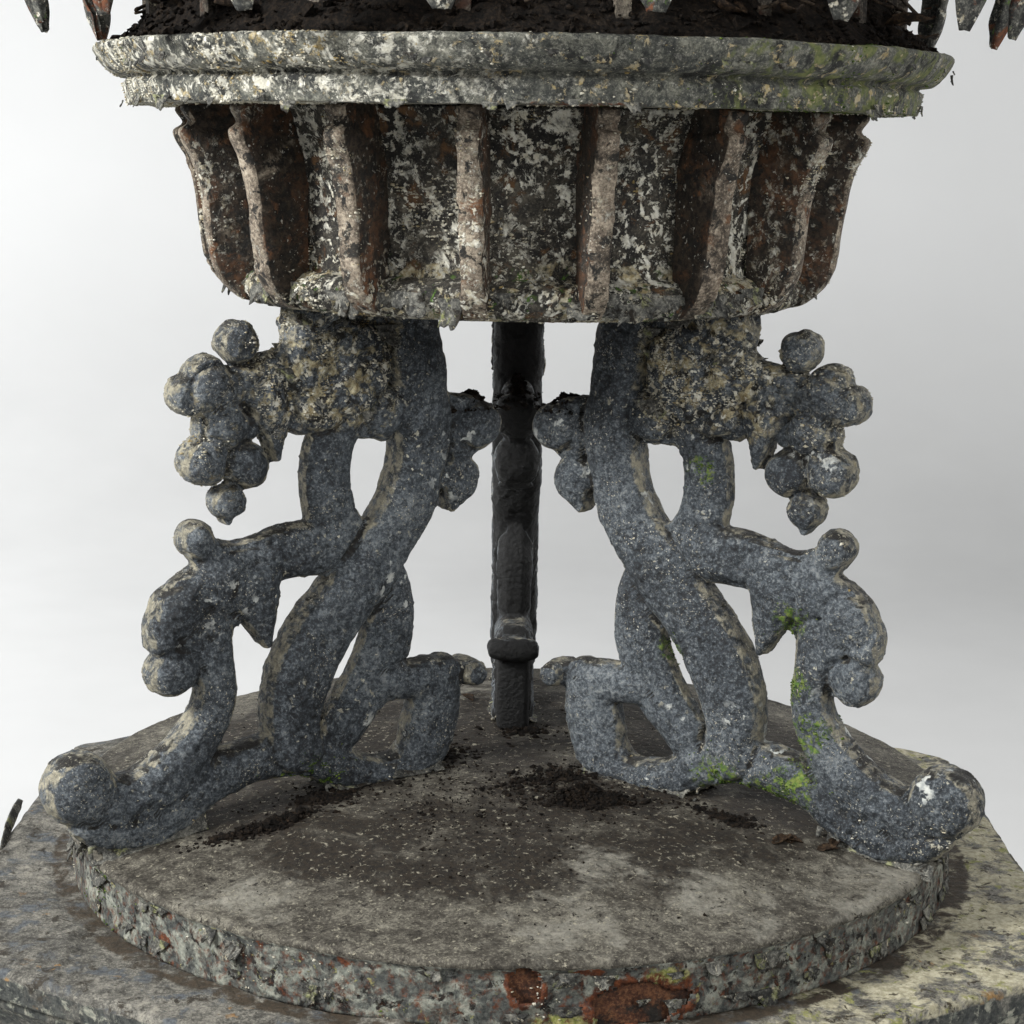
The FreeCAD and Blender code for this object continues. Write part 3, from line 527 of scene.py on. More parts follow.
PAINT = weathered(
    "dark_paint", [(18, 22, 23), (28, 33, 34), (38, 44, 45), (50, 57, 57), (70, 76, 74)],
    [((92, 96, 92), (64, 68, 66), 30.0, 0.60, 0.68, None, 0.1),
     (RUST, (70, 42, 28), 44.0, 0.63, 0.67, None, 0.3),
     ((140, 142, 134), (110, 112, 106), (16.0, 260.0, 0.76), 0.54, 0.62, None, 0.2)],
    size=6.0, grain=0.35, rough=(0.42, 0.75), specular=0.45, stretch=(1.0, 1.0, 0.35))
STEEL = weathered(
    "dull_steel", [(70, 68, 64), (98, 96, 92), (124, 122, 117), (146, 144, 139)],
    [((104, 72, 48), (80, 54, 38), 50.0, 0.60, 0.68, None, 0.1)],
    size=30.0, grain=0.15, rough=(0.32, 0.6), metal=0.85, specular=0.5)
BRASS = weathered(
    "aged_brass", [(92, 66, 30), (132, 98, 46), (164, 126, 62), (186, 150, 84)],
    [((70, 62, 40), (96, 92, 62), 34.0, 0.58, 0.68, None, 0.05)],
    size=26.0, grain=0.12, rough=(0.28, 0.55), metal=0.9, specular=0.5)
ENAMEL = weathered(
    "dial_enamel", [(196, 190, 172), (212, 207, 190), (222, 218, 203), (230, 226, 213)],
    [((150, 126, 88), (176, 156, 118), 7.0, 0.60, 0.74, None, 0.0),
     ((120, 92, 60), (96, 70, 46), (9.0, 120.0, 0.80), 0.55, 0.64, None, 0.0)],
    size=4.0, grain=0.06, rough=(0.22, 0.42), specular=0.5)
BLACK = weathered(
    "hand_black", [(10, 10, 11), (18, 18, 20), (28, 28, 30), (44, 44, 45)],
    [((80, 78, 74), (58, 56, 52), 60.0, 0.62, 0.70, None, 0.05)],
    size=20.0, grain=0.2, rough=(0.35, 0.6), specular=0.45)


def glass_material():
    g = Graph("dial_glass_clear")
    dust = g.step(g.noise(9, 6, 0.65), 0.42, 0.75)
    g.fill(g.shader, Base_Color=(0.93, 0.97, 0.96, 1), Transmission_Weight=1.0, IOR=1.02,
           Roughness=g.times(dust, 0.12))
    return g.material


GLASS = glass_material()
SLOT_LOOK = {"zinc_skin": ZINC, "rusty_iron": IRON, "frame_iron": PAINT, "steel": STEEL, "brass": BRASS,
             "dial_enamel": ENAMEL, "hand_black": BLACK, "dial_glass": GLASS}
for part in frame["record"]["subparts"]:
    node = nodes[part["node"]]
    node.data.materials.clear()
    node.data.materials.append(SLOT_LOOK[part["material_slot"]])

nodes["gallery_cage"].data.materials[0] = BARS


# ---- stage, light and camera --------------------------------------------
def backdrop():
    """Pale floor that sweeps up into a wall all round."""
    g = Graph("backdrop")
    split = g.node("SeparateXYZ", Vector=g.place)
    paper = g.ramp(g.noise(0.6, 3), [(0.3, (223, 223, 222)), (0.7, (229, 229, 228))])
    # Darker grey on the floor, lighter up the wall.
    floor_grey = g.ramp(g.noise(0.8, 4), [(0.3, (197, 197, 196)), (0.7, (206, 206, 205))])
    g.fill(g.shader, Base_Color=g.mix(g.step(split.outputs["Z"], 0.0, 1.6), floor_grey, paper), Roughness=0.95,
           Specular_IOR_Level=0.1)
    flat, curve, top, columns = 5.6, 3.8, 6.5, 96
    bend = [math.radians(a) for a in range(0, 91, 6)]
    profile = [(r, 0.0) for r in (0.001, 0.4, 0.9, 1.6, 2.6, 4.0)]
    profile += [(flat + curve * math.sin(a), curve - curve * math.cos(a)) for a in bend]
    profile += [(flat + curve, top)]
    points = lathe(profile, columns)
    mesh = new_mesh("backdrop", points.reshape(-1, 3), grid_faces(len(profile), columns, True))
    return add("backdrop", mesh, g.material, body=None)


def area_light(name, place, target, size, power, colour=(1, 1, 1)):
    data = bpy.data.lights.new(name, "AREA")
    data.shape = "DISK"
    data.size = size
    data.energy = power
    data.color = colour
    lamp = linked(name, data)
    lamp.location = place
    aim = Vector(target) - Vector(place)
    lamp.rotation_euler = aim.to_track_quat("-Z", "Y").to_euler()
    return lamp


backdrop()
area_light("key", (-2.7, -1.5, 3.1), (0, 0, 1.4), 1.0, 204, (1.0, 1.0, 0.99))
area_light("back_left", (-4.6, 3.0, 3.6), (-2.8, 6.5, 1.2), 2.6, 335, (0.98, 0.99, 1.0))
area_light("front", (-0.4, -3.4, 3.2), (0, 0, 1.3), 1.6, 34)
area_light("fill", (2.3, -2.4, 2.6), (0, 0, 1.2), 1.2, 39)
area_light("rim", (3.0, 3.6, 3.0), (0, 0, 1.4), 2.0, 36)
area_light("top", (0.2, 0.3, 6.0), (0, 0, 0), 2.6, 48)
world = bpy.data.worlds.new("world")
bpy.context.scene.world = world
world.use_nodes = True
world.node_tree.nodes["Background"].inputs[0].default_value = (0.86, 0.88, 0.90, 1)
world.node_tree.nodes["Background"].inputs[1].default_value = 0.31
bpy.context.scene.view_settings.view_transform = "Standard"

CAMERA_PLACE = (-0.0044, -2.1606, 1.7625)
CAMERA_TILT, CAMERA_ROLL = 79.14, 0.91       # degrees
LENS_MM, SENSOR_MM = 68.17, 36.0
lens = bpy.data.cameras.new("camera")
lens.lens = LENS_MM
lens.sensor_width = SENSOR_MM
lens.clip_end = 60.0
camera = linked("camera", lens)
camera.matrix_world = (Matrix.Translation(CAMERA_PLACE)
                       @ Matrix.Rotation(math.radians(CAMERA_TILT), 4, "X")
                       @ Matrix.Rotation(math.radians(CAMERA_ROLL), 4, "Z"))
bpy.context.scene.camera = camera


# ---- scroll brackets ----------------------------------------------------
def ring_of(half_w, half_t, n=24):
    """Rounded-box section with slightly crowned faces."""
    a = np.arange(n) * 2 * math.pi / n + math.pi / n
    c, s = np.cos(a), np.sin(a)
    across = half_w * np.sign(c) * np.abs(c) ** 0.55
    through = half_t * np.sign(s) * np.abs(s) ** 0.5
    return across, through * (1 - 0.10 * (across / max(half_w, 1e-6)) ** 2)


def closed_tube(rings):
    """Points and faces of a tube closed at both ends."""
    n = len(rings[0])
    points = np.vstack(rings)
    faces = grid_faces(len(rings), n, True).tolist()
    faces.append(list(range(n))[::-1])
    faces.append(list(range(len(points) - n, len(points))))
    return points, faces


def strap(path, half_t=23.0, blunt=0.6):
    """Flat bar along (r, z, half width) in the plane of the bracket."""
    p = resample(path, 6.0)
    along = np.gradient(p[:, :2], axis=0)
    along /= np.linalg.norm(along, axis=1)[:, None]
    rings = []

    def ring(q, d, k):
        across, through = ring_of(q[2] * k, half_t * (0.45 + 0.55 * k))
        normal = np.array([-d[1], d[0]])
        flat = q[:2] + across[:, None] * normal
        rings.append(np.column_stack([flat[:, 0], through, flat[:, 1]]))
    for k, out in ((0.35, 1.0), (0.75, 0.72), (0.93, 0.40)):
        q = p[0].copy()
        q[:2] -= along[0] * out * q[2] * blunt
        ring(q, along[0], k)
    for q, d in zip(p, along):
        ring(q, d, 1.0)
    for k, out in ((0.93, 0.40), (0.75, 0.72), (0.35, 1.0)):
        q = p[-1].copy()
        q[:2] += along[-1] * out * q[2] * blunt
        ring(q, along[-1], k)
    return closed_tube(rings)


def pillow(r, z, radius, half_t=23.0):
    """Round cushion-edged disc."""
    rings = []
    a = np.arange(28) * 2 * math.pi / 28
    for k in np.linspace(-86, 86, 11):
        s, c = math.sin(math.radians(k)), math.cos(math.radians(k))
        rho = radius * c ** 0.42
        t = half_t * math.copysign(abs(s) ** (0.85 if radius < 36 else 0.62), s)
        rings.append(np.column_stack([r + rho * np.cos(a), np.full(28, t), z + rho * np.sin(a)]))
    return closed_tube(rings)


def with_widths(points, widths):
    return [(r, z, w) for (r, z), w in zip(points, widths)]


S_FRONT = with_widths(
    [(155, 560), (146, 520), (141, 480), (138, 440), (140, 400), (147, 365), (162, 332), (184, 300),
     (208, 270), (232, 240), (254, 210), (270, 180), (280, 150), (284, 120), (280, 90)],
    [30, 31, 32, 32, 32, 33, 33, 33, 34, 35, 37, 38, 36, 32, 28])
S_BACK = with_widths(
    [(222, 446), (244, 420), (251, 382), (247, 350), (234, 322), (210, 298), (186, 272), (172, 240),
     (170, 210), (176, 180), (190, 150), (210, 122), (232, 95), (250, 70)],
    [20, 26, 27, 27, 28, 30, 30, 30, 30, 31, 31, 28, 26, 22])
STRAPS = [
    (S_FRONT, 22.5), (S_BACK, 19.0),
    (with_widths([(210, 462), (240, 457), (285, 455)], [26, 26, 24]), 24.0),
    (with_widths([(270, 505), (300, 497), (335, 490), (360, 480)], [24, 22, 22, 22]), 20.0),
    (with_widths([(366, 365), (366, 354), (363, 342)], [10, 8, 4]), 17.0),
    (with_widths([(318, 470), (312, 440), (310, 406)], [24, 15, 4]), 19.0),
    (with_widths([(96, 385), (92, 362), (104, 338)], [22, 20, 5]), 20.0),
    (with_widths([(80, 440), (100, 442), (122, 445)], [22, 22, 22]), 20.0),
    (with_widths([(240, 305), (290, 305), (330, 298), (360, 300), (385, 312), (398, 328)],
                 [30, 30, 26, 20, 18, 17]), 21.0),
    (with_widths([(320, 290), (360, 280), (400, 262), (425, 235), (434, 218)], [25, 32, 32, 26, 14]), 22.0),
    (with_widths([(330, 270), (325, 240), (317, 208)], [28, 20, 5]), 19.0),
    (with_widths([(385, 225), (374, 190), (371, 168), (376, 140), (392, 112), (425, 80), (465, 62),
                  (505, 66)], [28, 22, 21, 22, 24, 26, 24, 22]), 21.0),
    (with_widths([(118, 56), (150, 44), (185, 44), (225, 56), (262, 78), (300, 82), (340, 78), (385, 66),
                  (430, 46), (480, 36), (510, 50)], [16, 18, 18, 22, 24, 24, 24, 28, 40, 34, 28]), 22.0),
    (with_widths([(170, 146), (140, 146), (112, 140), (110, 115), (114, 90), (122, 66), (140, 50)],
                 [20, 22, 28, 32, 32, 30, 22]), 21.0),
    (with_widths([(110, 145), (80, 147), (56, 148)], [20, 15, 6]), 18.0),
]     # path with half widths, half thickness
DISCS = [
    (230, 500, 55, 22), (185, 448, 30, 20), (205, 440, 20, 19), (200, 536, 40, 22),
    (262, 540, 36, 22), (275, 500, 35, 22), (262, 462, 30, 21),
    (350, 530, 22, 20), (378, 479, 30, 21), (389, 408, 26, 21), (342, 402, 25, 20), (363, 364, 19, 18),
    (366, 445, 27, 20), (368, 420, 30, 19), (340, 440, 12, 17), (66, 428, 27, 21), (88, 420, 30, 20),
    (92, 370, 27, 21), (397, 328, 20, 20), (415, 255, 28, 22), (420, 190, 27, 21), (395, 205, 35, 20),
    (365, 262, 35, 20), (390, 225, 36, 20), (519, 78, 38, 25), (450, 38, 34, 24), (100, 150, 20, 20),
    (372, 444, 26, 22), (66, 147, 15, 31), (405, 478, 20, 26), (384, 496, 22, 26),
]     # r, z, radius, half thickness


LAYERS = [
    (1, -1.5, 2.0), (8, -0.5, 2.0), (9, 0.0, 2.0), (10, 1.5, 2.5), (12, -0.5, 1.5), (13, -1.0, 1.5),
    (11, 1.0, 2.5), (6, 1.0, 2.5), (0, 2.0, 3.2), (3, 0.0, 1.5), (5, 1.5, 2.5), ((262, 540, 34), 0.5, 2.0),
    ((185, 452, 28), 1.0, 2.0), ((262, 462, 28), 1.5, 2.5), ((230, 500, 50), 2.5, 2.6),
    ((278, 500, 30), 1.0, 2.2), ((350, 530, 21), 1.5, 2.6), ((378, 479, 28), 1.8, 2.8),
    ((366, 445, 24), 0.8, 2.4), ((389, 408, 25), 1.8, 2.8), ((342, 402, 23), 1.0, 2.6),
    ((363, 366, 19), 1.2, 2.4), ((66, 428, 26), 1.2, 2.4), ((92, 370, 25), 1.2, 2.4),
    ((397, 328, 18), 1.2, 2.2), ((415, 255, 26), 1.0, 2.2), ((420, 190, 25), 1.0, 2.4),
    ((519, 78, 34), 1.5, 2.4),
]     # from back to front: bar's place in STRAPS or a disc's r, z and radius; its face; its groove


def edge_gap(r, z, shape):
    """Distance outside a bar's or a disc's edge; negative inside it."""
    if isinstance(shape, tuple):
        return np.hypot(r - shape[0], z - shape[1]) - shape[2]
    gap = np.full(len(r), 1e3)
    for qr, qz, half_w in resample(STRAPS[shape][0], 5.0):
        gap = np.minimum(gap, np.hypot(r - qr, z - qz) - half_w)
    return gap


def relief(r, z):
    """Overlapping bars and bosses: crowned faces with grooves where one passes over another."""
    h = np.zeros(len(r))
    for shape, level, cut in LAYERS:
        gap = edge_gap(r, z, shape)
        cover = step01(-gap, -1.0, 2.5)
        h = h * (1 - cover) + (1.25 * level + 4.0 * step01(-gap, 0, 18)) * cover
        h -= 2.1 * cut * bump(gap, 2.4, 2.8)
    d = np.hypot(r - 450, z - 36)      # distance from the outer foot's boss
    return h + 3.6 * bump(d, 27, 5.0) - 2.4 * bump(d, 17, 5.0) + 3.0 * bump(d, 0, 8.0)


def dome_rise(r):
    """Height of the step's crowned top above its rim."""
    return 45.0 * (1 - (r / STEP_R) ** 2)


def bracket_sculpt(voxel):
    """The bracket in millimetres: x is the radius, z the height above the step's rim."""
    block = [(132, 530), (292, 530), (292, 572), (132, 572)]
    base = np.array([(r, t, z) for t in (-22, 22) for r, z in block], float)
    solids = [(base, [[0, 1, 2, 3], [7, 6, 5, 4], [0, 4, 5, 1], [1, 5, 6, 2], [2, 6, 7, 3], [3, 7, 4, 0]])]
    solids += [strap(path, half_t) for path, half_t in STRAPS]
    solids += [pillow(*disc) for disc in DISCS]
    rough = linked("rough", new_mesh("rough", *joined(solids)))
    remesh = rough.modifiers.new("remesh", "REMESH")
    remesh.mode = "VOXEL"
    remesh.voxel_size = voxel
    return baked(rough)


PATCHES = {
    "left": {"moss": [(250, 60, 26), (300, 50, 20)], "moss_gain": 0.25},
    "right": {"moss": [(206, 196, 20), (236, 398, 18), (270, 62, 32), (330, 62, 24), (356, 70, 30),
                       (352, 180, 24), (345, 250, 22), (300, 40, 30), (372, 130, 26)], "moss_gain": 1.0},
    "rear": {"moss": [(250, 60, 20)], "moss_gain": 0.3},
}


def scroll_bracket(place, azimuth, seed, source):
    mesh = source.copy()
    co = read(mesh)[0]
    mean = neighbours(mesh)
    for _ in range(2):
        co = co + 0.6 * (mean(co) - co)
    write(mesh, co)
    normal = read(mesh)[1]
    co[:, 1] += np.sign(normal[:, 1]) * step01(np.abs(normal[:, 1]), 0.3, 0.85) * relief(co[:, 0], co[:, 2])
    for _ in range(2):
        co = co + 0.5 * (mean(co) - co)
    co[:, 0] -= 3.0 + 10.0 * step01(co[:, 2], 40, 400)
    co[:, 2] = np.minimum(co[:, 2], 572.0)
    shift = np.array([1000.0 * seed, 0, 0])
    r, z = co[:, 0], co[:, 2]
    crust = step01(z, 380, 480) * step01(r, 120, 190) * (1 - 0.45 * step01(r, 300, 330))
    crust = np.maximum(crust, 0.55 * step01(r, 325, 350) * step01(z, 330, 370))
    crust = np.maximum(crust, 0.25 * step01(z, 240, 300) * step01(r, 330, 380))
    crust = np.maximum(crust, 0.42 * step01(-np.abs(z - 40), -50, 0))
    write(mesh, co)
    normal = read(mesh)[1]
    p = co + shift
    swell = 1.8 * fbm(p, 60.0, 2, seed) + 1.1 * fbm(p, 16.0, 3, seed + 5) + 0.7 * fbm(p, 6.0, 2, seed + 7)
    swell += 1.3 * bump(fbm(p, 44.0, 2, seed + 29), 0, 0.035)
    pits = -1.5 * step01(fbm(p, 9.0, 3, seed + 11), 0.25, 0.55)
    flakes = crust * (2.6 * step01(fbm(p, 15.0, 4, seed + 17), 0.02, 0.12)
                      - 2.0 * step01(fbm(p, 24.0, 3, seed + 23), 0.25, 0.34))
    co = co + normal * (swell + pits + flakes)[:, None]
    side = np.abs(normal[:, 1])
    write(mesh, co)
    normal = read(mesh)[1]
    hollow = ((mean(co) - co) * normal).sum(1)
    for _ in range(6):
        hollow = mean(hollow)
    spots = PATCHES[place]
    moss = np.zeros(len(co))
    for mr, mz, size in spots["moss"]:
        moss = np.maximum(moss, np.exp(-((r - mr) ** 2 + (z - mz) ** 2) / (1.4 * size ** 2)))
    attribute(mesh, "crust", crust)
    # Painted shade: the rear bracket's inner edges, which face the camera, are coloured near black.
    painted_shade = step01(-normal[:, 0], 0.0, 0.45) * (place == "rear")
    # edge: pale sides, wear and in part a painted highlight; none where the painted shade is
    attribute(mesh, "edge", 0.22 + 0.55 * step01(-side, -0.85, -0.5) * (1 - painted_shade))
    # dirt_and_shade: painted shade in the hollows, and dirt on faces that look up
    attribute(mesh, "dirt_and_shade", 0.25 + 2.2 * step01(hollow, 0.02, 0.35) + 0.8 * step01(normal[:, 2], 0.5, 0.9))
    attribute(mesh, "moss", moss * spots["moss_gain"])
    attribute(mesh, "painted_shade", 0.12 + painted_shade)
    world_co = turn(co * MM, azimuth)
    world_co[:, 2] += CROWN
    write(mesh, world_co)
    return add("bracket_" + place, mesh, ZINC, replaces=["scroll_bracket_" + place])


sculpt = bracket_sculpt(2.4)
brackets = {}
for place, seed in (("rear", 3), ("left", 1), ("right", 2)):
    brackets[place] = scroll_bracket(place, BRACKET_AZIMUTHS[place], seed, sculpt)


def rear_foot():
    """Lead dressed down over the rear bracket's inner foot."""
    points, faces = strap([(80, 142, 11), (80, 112, 12), (81, 82, 12), (86, 50, 14)], 20.0)
    points = points + 1.4 * fbm_vector(points, 22.0, 3, 921)
    mesh = crown_mesh("rear_foot", turn(points, BRACKET_AZIMUTHS["rear"]), faces)
    # painted shade over the whole rear foot
    attribute(mesh, "painted_shade", np.ones(len(points)))
    add("rear_foot", mesh, ZINC)


rear_foot()


def skirts():
    """Soldered strips, cracked and curling, that seal each bracket's feet to the step."""
    parts = []
    for azimuth in BRACKET_AZIMUTHS.values():
        for side in (-1, 1):
            for r0, r1 in ((104, 246), (384, 512)):
                r = np.repeat(np.linspace(r0, r1, int((r1 - r0) / 2.4)), 9)
                u = np.tile(np.linspace(0, 1, 9), len(r) // 9)
                key = np.column_stack([r, 40.0 * side + 0 * r, azimuth + 0 * r])
                wide = 10 + 7 * fbm(key, 40.0, 3, 901)
                tall = 13 + 9 * fbm(key, 34.0, 3, 903)
                key[:, 1] += 12 * u
                flow = 2.2 * fbm(key, 11.0, 3, 905)
                t = side * (17.5 + wide * u ** 1.4)
                z = dome_rise(r) + 1.2 + tall * (1 - u) ** 2.2 + flow * (0.3 + u)
                points = turn(np.column_stack([r, t, z]), azimuth) * MM + [0, 0, CROWN]
                faces = grid_faces(len(r) // 9, 9, False)
                whole = fbm(key, 17.0, 3, 907)[faces].mean(1) < 0.26
                parts.append((points, faces[whole]))
    add("foot_flashing", thick(new_mesh("foot_flashing", *joined(parts)), 1.6 * MM), FLASHING)


# ---- round step ---------------------------------------------------------
TEARS = [(-88.3, -22, 1.7, 19), (-76.0, -44, 5.2, 20), (24.0, -30, 1.6, 12),
         (131.0, -40, 2.4, 13)]     # azimuth, height, half width in degrees, half height
RUSTY = [(-132.7, -42, 1.2, 9), (-118.0, -7, 0.5, 5), (-107.7, -8, 0.8, 6), (-82.0, -8, 3.0, 6),
         (60.0, -20, 2.0, 10)]
PALE = [(89, -327, 60), (376, -291, 50), (47, -443, 70), (-254, -378, 60), (200, -380, 70), (-60, 300, 80),
        (330, -352, 60), (418, -210, 50)]     # x, y, size in mm


def thick(mesh, depth):
    """Give a sheet a back face, depth in metres, below its outward side."""
    obj = linked("sheet", mesh)
    solid = obj.modifiers.new("solid", "SOLIDIFY")
    solid.thickness = depth
    solid.offset = -1.0
    return baked(obj)


def step_sheet():
    columns = 1080
    inner = [(r, dome_rise(r)) for r in np.arange(4.0, 492.0, 4.2)]
    rim = [(494, 1.6), (497.0, 0.8), (499.2, -0.8), (500.2, -3.2), (499.6, -6.0)]
    wall = [(499.0, -8.5 - 2.9 * k) for k in range(20)]
    profile = np.array(inner + rim + wall)
    rows = len(profile)
    points = lathe(profile, columns).reshape(-1, 3)
    radius, angle = polar(points)
    height = points[:, 2].copy()
    wall_part = step01(radius, 494, 499) * step01(-height, 2, 6)
    top_part = 1 - wall_part
    noise = fbm(points, 150.0, 3, 41)
    sag = 4.2 * noise + 1.5 * fbm(points, 42.0, 3, 43) + 0.5 * fbm(points, 12.0, 3, 47)
    points[:, 2] += top_part * (sag - 1.5) * step01(-radius, -500, -440)
    points[:, 2] += top_part * (1.3 * fbm(points, 30.0, 3, 53) + 0.5 * fbm(points, 8.0, 2, 55))
    flaky = step01(fbm(points, 15.0, 4, 61), -0.04, 0.10) + step01(fbm(points, 9.0, 3, 63), 0.05, 0.15)
    creases = bump(fbm(points, 40.0, 2, 65), 0, 0.05)
    push = 2.0 * fbm(points, 70.0, 3, 59) + 0.8 * flaky + 1.2 * creases - 2.2
    lip = bump(height, -3, 5.0) * step01(radius, 490, 498)
    push = np.maximum(push, -1.3) * wall_part + lip * (2.0 + 2.2 * fbm(points, 36.0, 3, 67))
    holes = np.zeros(len(points))
    frayed = fbm(points, 14.0, 4, 71)
    for az, h, half_w, half_h in TEARS:
        d = np.sqrt(((angle - az) / half_w) ** 2 + ((height - h) / half_h) ** 2)
        d = d + 0.42 * frayed
        holes = np.maximum(holes, 1.35 - d)
        push += wall_part * 4.0 * bump(d, 1.05, 0.30) * step01(h - height + 6, -4, 10)
    rust = step01(holes, -0.35, 0.3)
    for az, h, half_w, half_h in RUSTY:
        d = np.hypot((angle - az) / half_w, (height - h) / half_h) + 0.8 * frayed
        rust = np.maximum(rust, step01(-d, -1.2, -0.5))
    push_out(points, push)
    faces = grid_faces(rows, columns, True)
    centre = holes[faces].mean(1)
    on_wall = (height[faces] < -3).all(1)
    keep = ~((centre > 0.35) & on_wall)
    dirt_and_shade = 1.25 * step01(-radius, -455, -240) + 0.42
    for az in (210.0, 330.0):
        a = math.radians(az)
        for rr, gain, size in ((120, 0.9, 60), (200, 0.8, 70), (300, 0.6, 50), (440, 0.5, 40)):
            stain = blot(points, rr * math.cos(a), rr * math.sin(a), size)
            dirt_and_shade = np.maximum(dirt_and_shade, gain * stain + 0.3)
    shift = points * MM
    shift[:, 2] += CROWN
    mesh = new_mesh("step_sheet", shift, faces[keep])
    attribute(mesh, "dirt_and_shade", dirt_and_shade * top_part)
    pale = 0.45 * step01(radius, 440, 490)
    for spot_x, spot_y, size in PALE:
        pale = np.maximum(pale, 0.9 * blot(points, spot_x, spot_y, size))
    attribute(mesh, "pale", pale * top_part)

    def spot(az, h, wide, tall):
        return np.exp(-((angle - az) / wide) ** 2 - ((height - h) / tall) ** 2)
    bloom = np.maximum(spot(-73, -20, 3.5, 16), spot(-84, -58, 5.0, 12))
    attribute(mesh, "bloom", bloom + 0.5 * spot(-132, -8, 5.0, 9))
    attribute(mesh, "wall", wall_part)
    drip = bump(angle, -60.4, 1.3)
    moss = wall_part * (0.55 * drip + 0.35 * step01(fbm(points, 90.0, 2, 73), 0.1, 0.5))
    attribute(mesh, "moss", moss)
    attribute(mesh, "rust", wall_part * rust)
    return add("step_sheet", thick(mesh, 2.2 * MM), STEP, replaces=["step_skin"])


step_obj = step_sheet()
skirts()


# ---- hexagonal slab -----------------------------------------------------
def hex_reach(angle):
    """How far a unit-apothem hexagon reaches, with its corners slightly rounded."""
    local = (angle + math.pi / 6) % (math.pi / 3) - math.pi / 6
    return np.minimum(1 / np.cos(local), 1.148)


def hex_sheet(profile, columns, seed, detail):
    """Hexagonal turned surface; profile is (apothem, z) in millimetres."""
    angle = np.arange(columns) * 2 * math.pi / columns
    s, z = np.asarray(profile).T
    corner = step01(s, s[0] + 10, s[0] + 70)[:, None]
    reach = 1 + (hex_reach(angle) - 1) * corner
    x = s[:, None] * reach * np.cos(angle)
    y = s[:, None] * reach * np.sin(angle)
    points = np.stack([x, y, np.broadcast_to(z[:, None], x.shape)], -1).reshape(-1, 3)
    return detail(points, np.repeat(s, columns), seed), grid_faces(len(profile), columns, True)


def slab_detail(points, s, seed):
    top = step01(points[:, 2], 952, 958)
    fold = 3.2 * fbm(points * [1, 1, 0.2], 130.0, 3, seed) + 1.6 * fbm(points, 34.0, 3, seed + 3)
    crease = 2.6 * bump(fbm(points, 170.0, 2, seed + 9), 0, 0.05)
    points[:, 2] += top * (fold - 2.2 + crease)
    points[:, 2] -= 5.0 * top * step01(s, 520, 586) * step01(fbm(points, 200.0, 2, seed + 13), -0.1, 0.5)
    swell = 1.8 * fbm(points, 60.0, 3, seed + 21) + 1.2 * fbm(points, 15.0, 3, seed + 25)
    push_out(points, (1 - top) * swell)
    return points


def slab_sheet():
    edge = 583.7
    top = [(s, 960.0) for s in np.arange(476.0, edge - 3, 3.4)]
    corner = [(edge - 2.0, 959.4), (edge - 0.4, 957.0), (edge, 953.5)]
    fascia = [(edge, z) for z in np.arange(950.0, 931.0, -3.0)]
    drop = straight([(edge - 0.6, 930), (575, 926), (575, 916), (568.4, 911), (561, 902), (554.5, 890),
                     (549.4, 878), (544.0, 872), (544.0, 860.6)], 3.0)
    profile = np.vstack([top, corner, fascia, drop])
    points, faces = hex_sheet(profile, 1440, 101, slab_detail)
    mesh = new_mesh("slab_sheet", points * MM, faces)
    radius = polar(points)[0]
    on_top = step01(points[:, 2], 948, 956)
    x = points[:, 0]
    attribute(mesh, "wall", 1 - on_top)
    top_moss = 0.16 + 0.75 * step01(x, 60, 380)
    attribute(mesh, "moss", on_top * top_moss + (1 - on_top) * 0.4 * step01(x, 0, 300))
    attribute(mesh, "dirt_and_shade", on_top * 1.1 * step01(-radius, -540, -505) + 0.15)
    return add("slab_sheet", thick(mesh, 2.0 * MM), SLAB, replaces=["slab_skin"])


slab_sheet()


def slab_lip():
    """Strip of the slab's sheet that has sprung up along its left corner."""
    u, v = np.meshgrid(np.linspace(0, 1, 60), np.linspace(0, 1, 8), indexing="ij")
    u, v = u.ravel(), v.ravel()
    x, y = -598 + 24 * u, 108 - 190 * u
    rise = 13 * np.sin(math.pi * u ** 0.8) ** 0.5
    points = np.column_stack([x - 5 * v ** 2, y - 1.4 * v ** 2, 957 + rise * v])
    points += 1.3 * fbm_vector(points, 26.0, 3, 961)
    add("slab_lip", thick(new_mesh("slab_lip", points * MM, grid_faces(60, 8, False)), 2.0 * MM), FLASHING)


slab_lip()


# ---- capital ------------------------------------------------------------
def drum_sheet():
    columns = 760
    outside = straight([(287, 569), (301, 567), (310, 572), (316, 580), (317, 589), (313, 597), (304, 603),
                        (292, 607), (291, 640), (295, 680), (303, 725), (321, 769)], 3.0)
    inside = [(316, 769), (298, 725), (289, 680), (287, 640), (285, 609), (285, 573), (286, 570)]
    profile = np.vstack([outside, inside])
    points = lathe(profile, columns).reshape(-1, 3)
    z = points[:, 2]
    outer = np.repeat(np.arange(len(profile)) < len(outside), columns)
    low = step01(-z, -615, -595)
    push = (2.0 * fbm(points, 50.0, 3, 201) + 1.6 * fbm(points, 14.0, 4, 203)
            + low * 3.0 * fbm(points, 24.0, 3, 207))
    crumbs = 2.6 * step01(fbm(points, 12.0, 3, 211), 0.22, 0.34) * (0.4 + low)
    push_out(points, (push + crumbs) * outer)
    points[:, 2] += low * 1.6 * fbm(points, 30.0, 3, 213) * outer * step01(z, 573, 578)
    mesh = crown_mesh("drum_sheet", points, grid_faces(len(profile), columns, True))
    attribute(mesh, "crust", 0.72 + 0.3 * fbm(points, 80.0, 2, 215))
    attribute(mesh, "low", 0.2 + 0.7 * low + 0.5 * step01(-z, -660, -610))
    return add("capital_wall", mesh, DRUM, replaces=["capital_drum"])


RIB_OUTLINE = [(290, 572), (302, 568.5), (315, 571), (328, 580), (339, 592), (346, 606), (349, 618),
               (353, 650), (359, 690), (367, 716), (377, 735), (378, 744), (369, 752), (373, 769.4),
               (304, 769.4)]
RIB_RING = ((-11, 1.0), (-11.2, 0.66), (-11.2, 0.33), (-11, 0.08), (-9.6, 0.015), (-5, 0.0), (0, -0.004),
            (5, 0.0), (9.6, 0.015), (11, 0.08), (11.2, 0.33), (11.2, 0.66), (11, 1.0))
# across in mm, share of the way back to the drum


